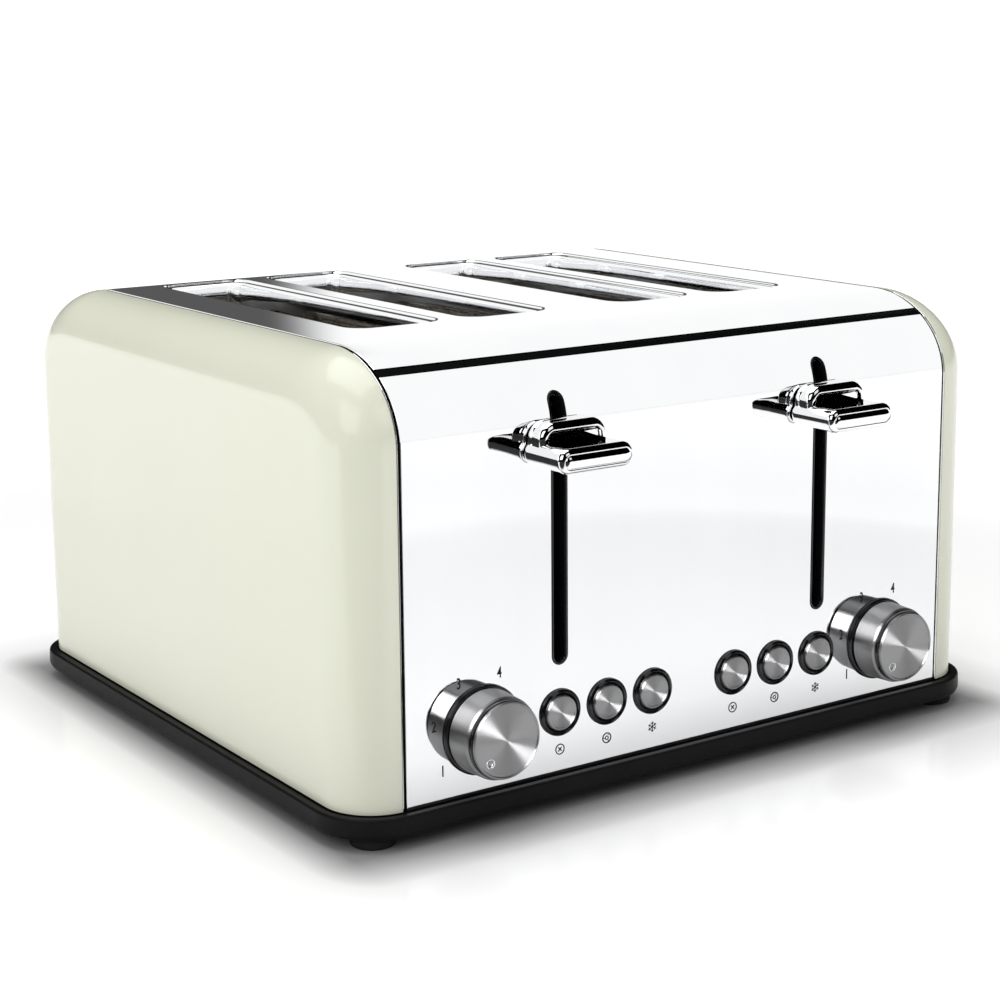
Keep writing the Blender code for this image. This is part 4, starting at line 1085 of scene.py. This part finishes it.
def make_camera():
    data = bpy.data.cameras.new("camera")
    data.lens = CAMERA_LENS
    data.sensor_width = 36.0
    data.shift_y = -0.06
    data.clip_start = 0.01
    data.clip_end = 50.0
    camera = link("camera", data)
    turn = Matrix.Rotation(CAMERA_TURN.length, 3, CAMERA_TURN.normalized())
    axes = Matrix((turn[0], -turn[1], -turn[2])).transposed()
    camera.matrix_world = Matrix.Translation(CAMERA_PLACE) @ axes.to_4x4()
    bpy.context.scene.camera = camera


def softbox(name, place, aim, size, power):
    data = bpy.data.lights.new(name, "AREA")
    data.shape = "RECTANGLE"
    data.size, data.size_y = size
    data.energy = power
    made = link(name, data, place)
    made.rotation_euler = (Vector(aim) - Vector(place)).to_track_quat("-Z", "Y").to_euler()
    return made


def only_for(made, finish):
    """Let a light or cloth shine only on the pieces with one finish."""
    group = bpy.data.collections.new(f"{made.name}_receivers")
    for item in bpy.context.scene.objects:
        if item.type == "MESH" and item.data.materials[:1] == [FINISHES[finish]]:
            group.objects.link(item)
    made.light_linking.receiver_collection = group


def unlit_part(nodes, way, size=1.0):
    """1 in the dark part of the studio, behind the toaster and on its left, and 0 elsewhere."""
    behind = nodes.ease(way["Y"], 0.0, 1.0, 0.45 * size, 0.65 * size)
    left = nodes.ease(way["X"], 1.0, 0.0, 0.43 * size, 0.49 * size)
    return nodes.maths("MULTIPLY", behind, left)


def make_cloth():
    """A white cloth over the set, which only shows in the polished sheets."""
    bm = bmesh.new()
    bmesh.ops.create_uvsphere(bm, u_segments=96, v_segments=48, radius=CLOTH_RADIUS)
    low = [vert for vert in bm.verts if vert.co.z < CLOTH_LOW * CLOTH_RADIUS]
    bmesh.ops.delete(bm, geom=low, context="VERTS")
    mesh = mesh_of("white_cloth", bm, weld=False)
    mesh.shade_smooth()
    cloth = bpy.data.materials.new("white_cloth")
    nodes = Nodes(cloth)
    cloth.cycles.emission_sampling = "NONE"
    way = nodes.axes()
    right = nodes.ease(way["X"], 0.0, 1.0, 0.18 * CLOTH_RADIUS, 0.28 * CLOTH_RADIUS)
    unlit = nodes.maths("MULTIPLY", unlit_part(nodes, way, CLOTH_RADIUS), right)
    nodes.show(nodes.add("ShaderNodeEmission", {"Color": WHITE, "Strength": nodes.ease(unlit, SKY_WHITE,
        2 * SKY_DARK)}))
    mesh.materials.append(cloth)
    made = link("white_cloth", mesh)
    made.visible_camera = False
    made.visible_diffuse = False
    made.visible_shadow = False
    only_for(made, "polished_steel")


def make_world():
    """White for the camera and even for soft light. Gloss sees bright and dark parts."""
    world = bpy.data.worlds.new("studio")
    bpy.context.scene.world = world
    nodes = Nodes(world)
    way = nodes.axes("Generated")
    low = nodes.ease(way["Z"], SKY_WHITE, SKY_DARK, CLOTH_LOW - 0.01, CLOTH_LOW + 0.02)
    front = nodes.ease(way["X"], SKY_DARK, 1.0, -0.15, 0.15)
    lit = nodes.ease(unlit_part(nodes, way), 1.0, 2 * SKY_DARK)
    lit = nodes.maths("MULTIPLY", nodes.maths("MULTIPLY", low, front), lit)
    shades = [nodes.add("ShaderNodeBackground", {"Color": colour, "Strength": strength}).outputs[0]
        for colour, strength in (((*AMBIENT, 1.0), nodes.ease(way["Y"], 0.62, 1.12, -1.0, 0.4)),
        (WHITE, lit), (WHITE, 1.05))]
    path = nodes.add("ShaderNodeLightPath").outputs
    mixed = nodes.add("ShaderNodeMixShader", {0: path["Is Glossy Ray"], 1: shades[0], 2: shades[1]})
    nodes.show(nodes.add("ShaderNodeMixShader", {0: path["Is Camera Ray"], 1: mixed.outputs[0],
        2: shades[2]}), "World Output")


def make_floor():
    """A pale floor with a painted shadow near the toaster, as soft light would leave it, and a painted
    glow round that.
    """
    floor = Finish("studio_floor", (0.9, 0.9, 0.9), 0.16, gloss=(20.0, 3.0, 0.12, 0.2))
    spot = floor.axes()

    def past(value, middle, half):
        """How far out of the toaster's footprint a place is, along one axis."""
        offset = floor.maths("ABSOLUTE", floor.maths("SUBTRACT", value, middle))
        return floor.maths("MAXIMUM", floor.maths("SUBTRACT", offset, half), 0.0)

    beside = floor.maths("MULTIPLY", past(spot["X"], 0.0, BODY_HALF_WIDTH), 1.5)
    before = past(spot["Y"], BODY_Y, BODY_DEPTH / 2)
    gap = floor.maths("SQRT", floor.maths("ADD", floor.maths("POWER", beside, 2.0),
        floor.maths("POWER", before, 2.0)))
    # painted shadow: the floor's colour is darker within a few centimetres of the toaster's footprint
    floor.paint(floor.spread(gap, 0.0, 1.0, 0.002, 0.028), (0.3, 0.3, 0.3), (0.8, 0.8, 0.8))
    # painted glow: the floor emits light close to the toaster, making up for the shade there, and again
    # further out, keeping the floor white
    painted_glow = floor.maths("SUBTRACT", floor.spread(gap, 0.0, 0.25, 0.01, 0.07),
        floor.spread(gap, 0.0, 0.16, 0.12, 0.5))
    painted_glow = floor.maths("ADD", painted_glow, floor.spread(gap, 0.0, 0.42, 0.4, 1.5))
    floor.shader.inputs["Emission Color"].default_value = WHITE
    floor.tree.links.new(painted_glow, floor.shader.inputs["Emission Strength"])
    floor.tree.links.new(floor.spread(gap, 0.22, 0.0, 0.1, 0.4),
        floor.shader.inputs["Specular IOR Level"])
    # painted dark reflection: gloss sees the floor's front left corner as a near-black patch
    painted_dark_corner = floor.maths("MULTIPLY", floor.spread(spot["X"], 0.0, 1.0, -0.12, -0.19),
        floor.spread(spot["Y"], 0.0, 1.0, -0.14, -0.21))
    unlit = floor.maths("MULTIPLY", painted_dark_corner, floor.add("ShaderNodeLightPath").outputs["Is Glossy Ray"])
    painted_dark_reflection = floor.add("ShaderNodeBsdfDiffuse", {"Color": (0.03, 0.03, 0.03, 1.0)})
    floor.show(floor.add("ShaderNodeMixShader", {0: unlit, 1: floor.shader.outputs[0],
        2: painted_dark_reflection.outputs[0]}))
    bm = bmesh.new()
    bmesh.ops.create_grid(bm, x_segments=8, y_segments=8, size=8.0)
    mesh = mesh_of("studio_floor", bm, weld=False)
    mesh.materials.append(floor.material)
    ground = link("studio_floor", mesh)


# ------------------------------------------------------------------ assembly
make_camera()
make_floor()
make_world()
bpy.context.scene.view_settings.view_transform = "Standard"
softbox("key", (-1.5, -0.7, 1.2), (0.0, 0.0, 0.05), (1.2, 1.2), 7.0)
softbox("top", (-0.1, 0.3, 1.9), (0.0, 0.0, 0.0), (1.6, 1.6), 17.0)
softbox("fill", (0.25, -1.5, 1.35), (0.0, 0.0, 0.05), (0.9, 0.9), 2.4)
make_top_cover()
make_front_panel()
make_back_panel()
make_trims()
make_base()
make_feet()
make_inside()
make_gland()
for hand, word in ((-1, "left"), (1, "right")):
    make_side(word, hand)
    make_slot_liner(word, hand)
    make_handle(word, hand)
    make_lever_parts(word, hand)
    make_crumb_tray(word, hand)
    make_dial(word, hand)
    make_buttons(word, hand)
    make_marks(word, hand)
    for slot_x, spot in zip(BREAD_X, ("inner", "outer")):
        make_rack(word, spot, hand * slot_x)
        for away, facing_word in ((-1, "west"), (1, "east")):
            make_guard(word, spot, facing_word, hand * slot_x + away * GUARD_OFFSET, away)
    centre_x = (BREAD_X[0] + BREAD_X[1]) / 2
    step_x = centre_x - BREAD_X[0]
    for heater_x, spot in ((BREAD_X[0] - step_x, "inner"), (centre_x, "middle"),
            (BREAD_X[1] + step_x, "outer")):
        make_heater(word, spot, hand * heater_x)

make_cloth()
glint = softbox("glint", (-0.5, -1.15, 0.5), (0.0, -0.13, 0.04), (0.5, 0.7), 34.0)
only_for(glint, "spun_steel")

bpy.context.view_layer.update()
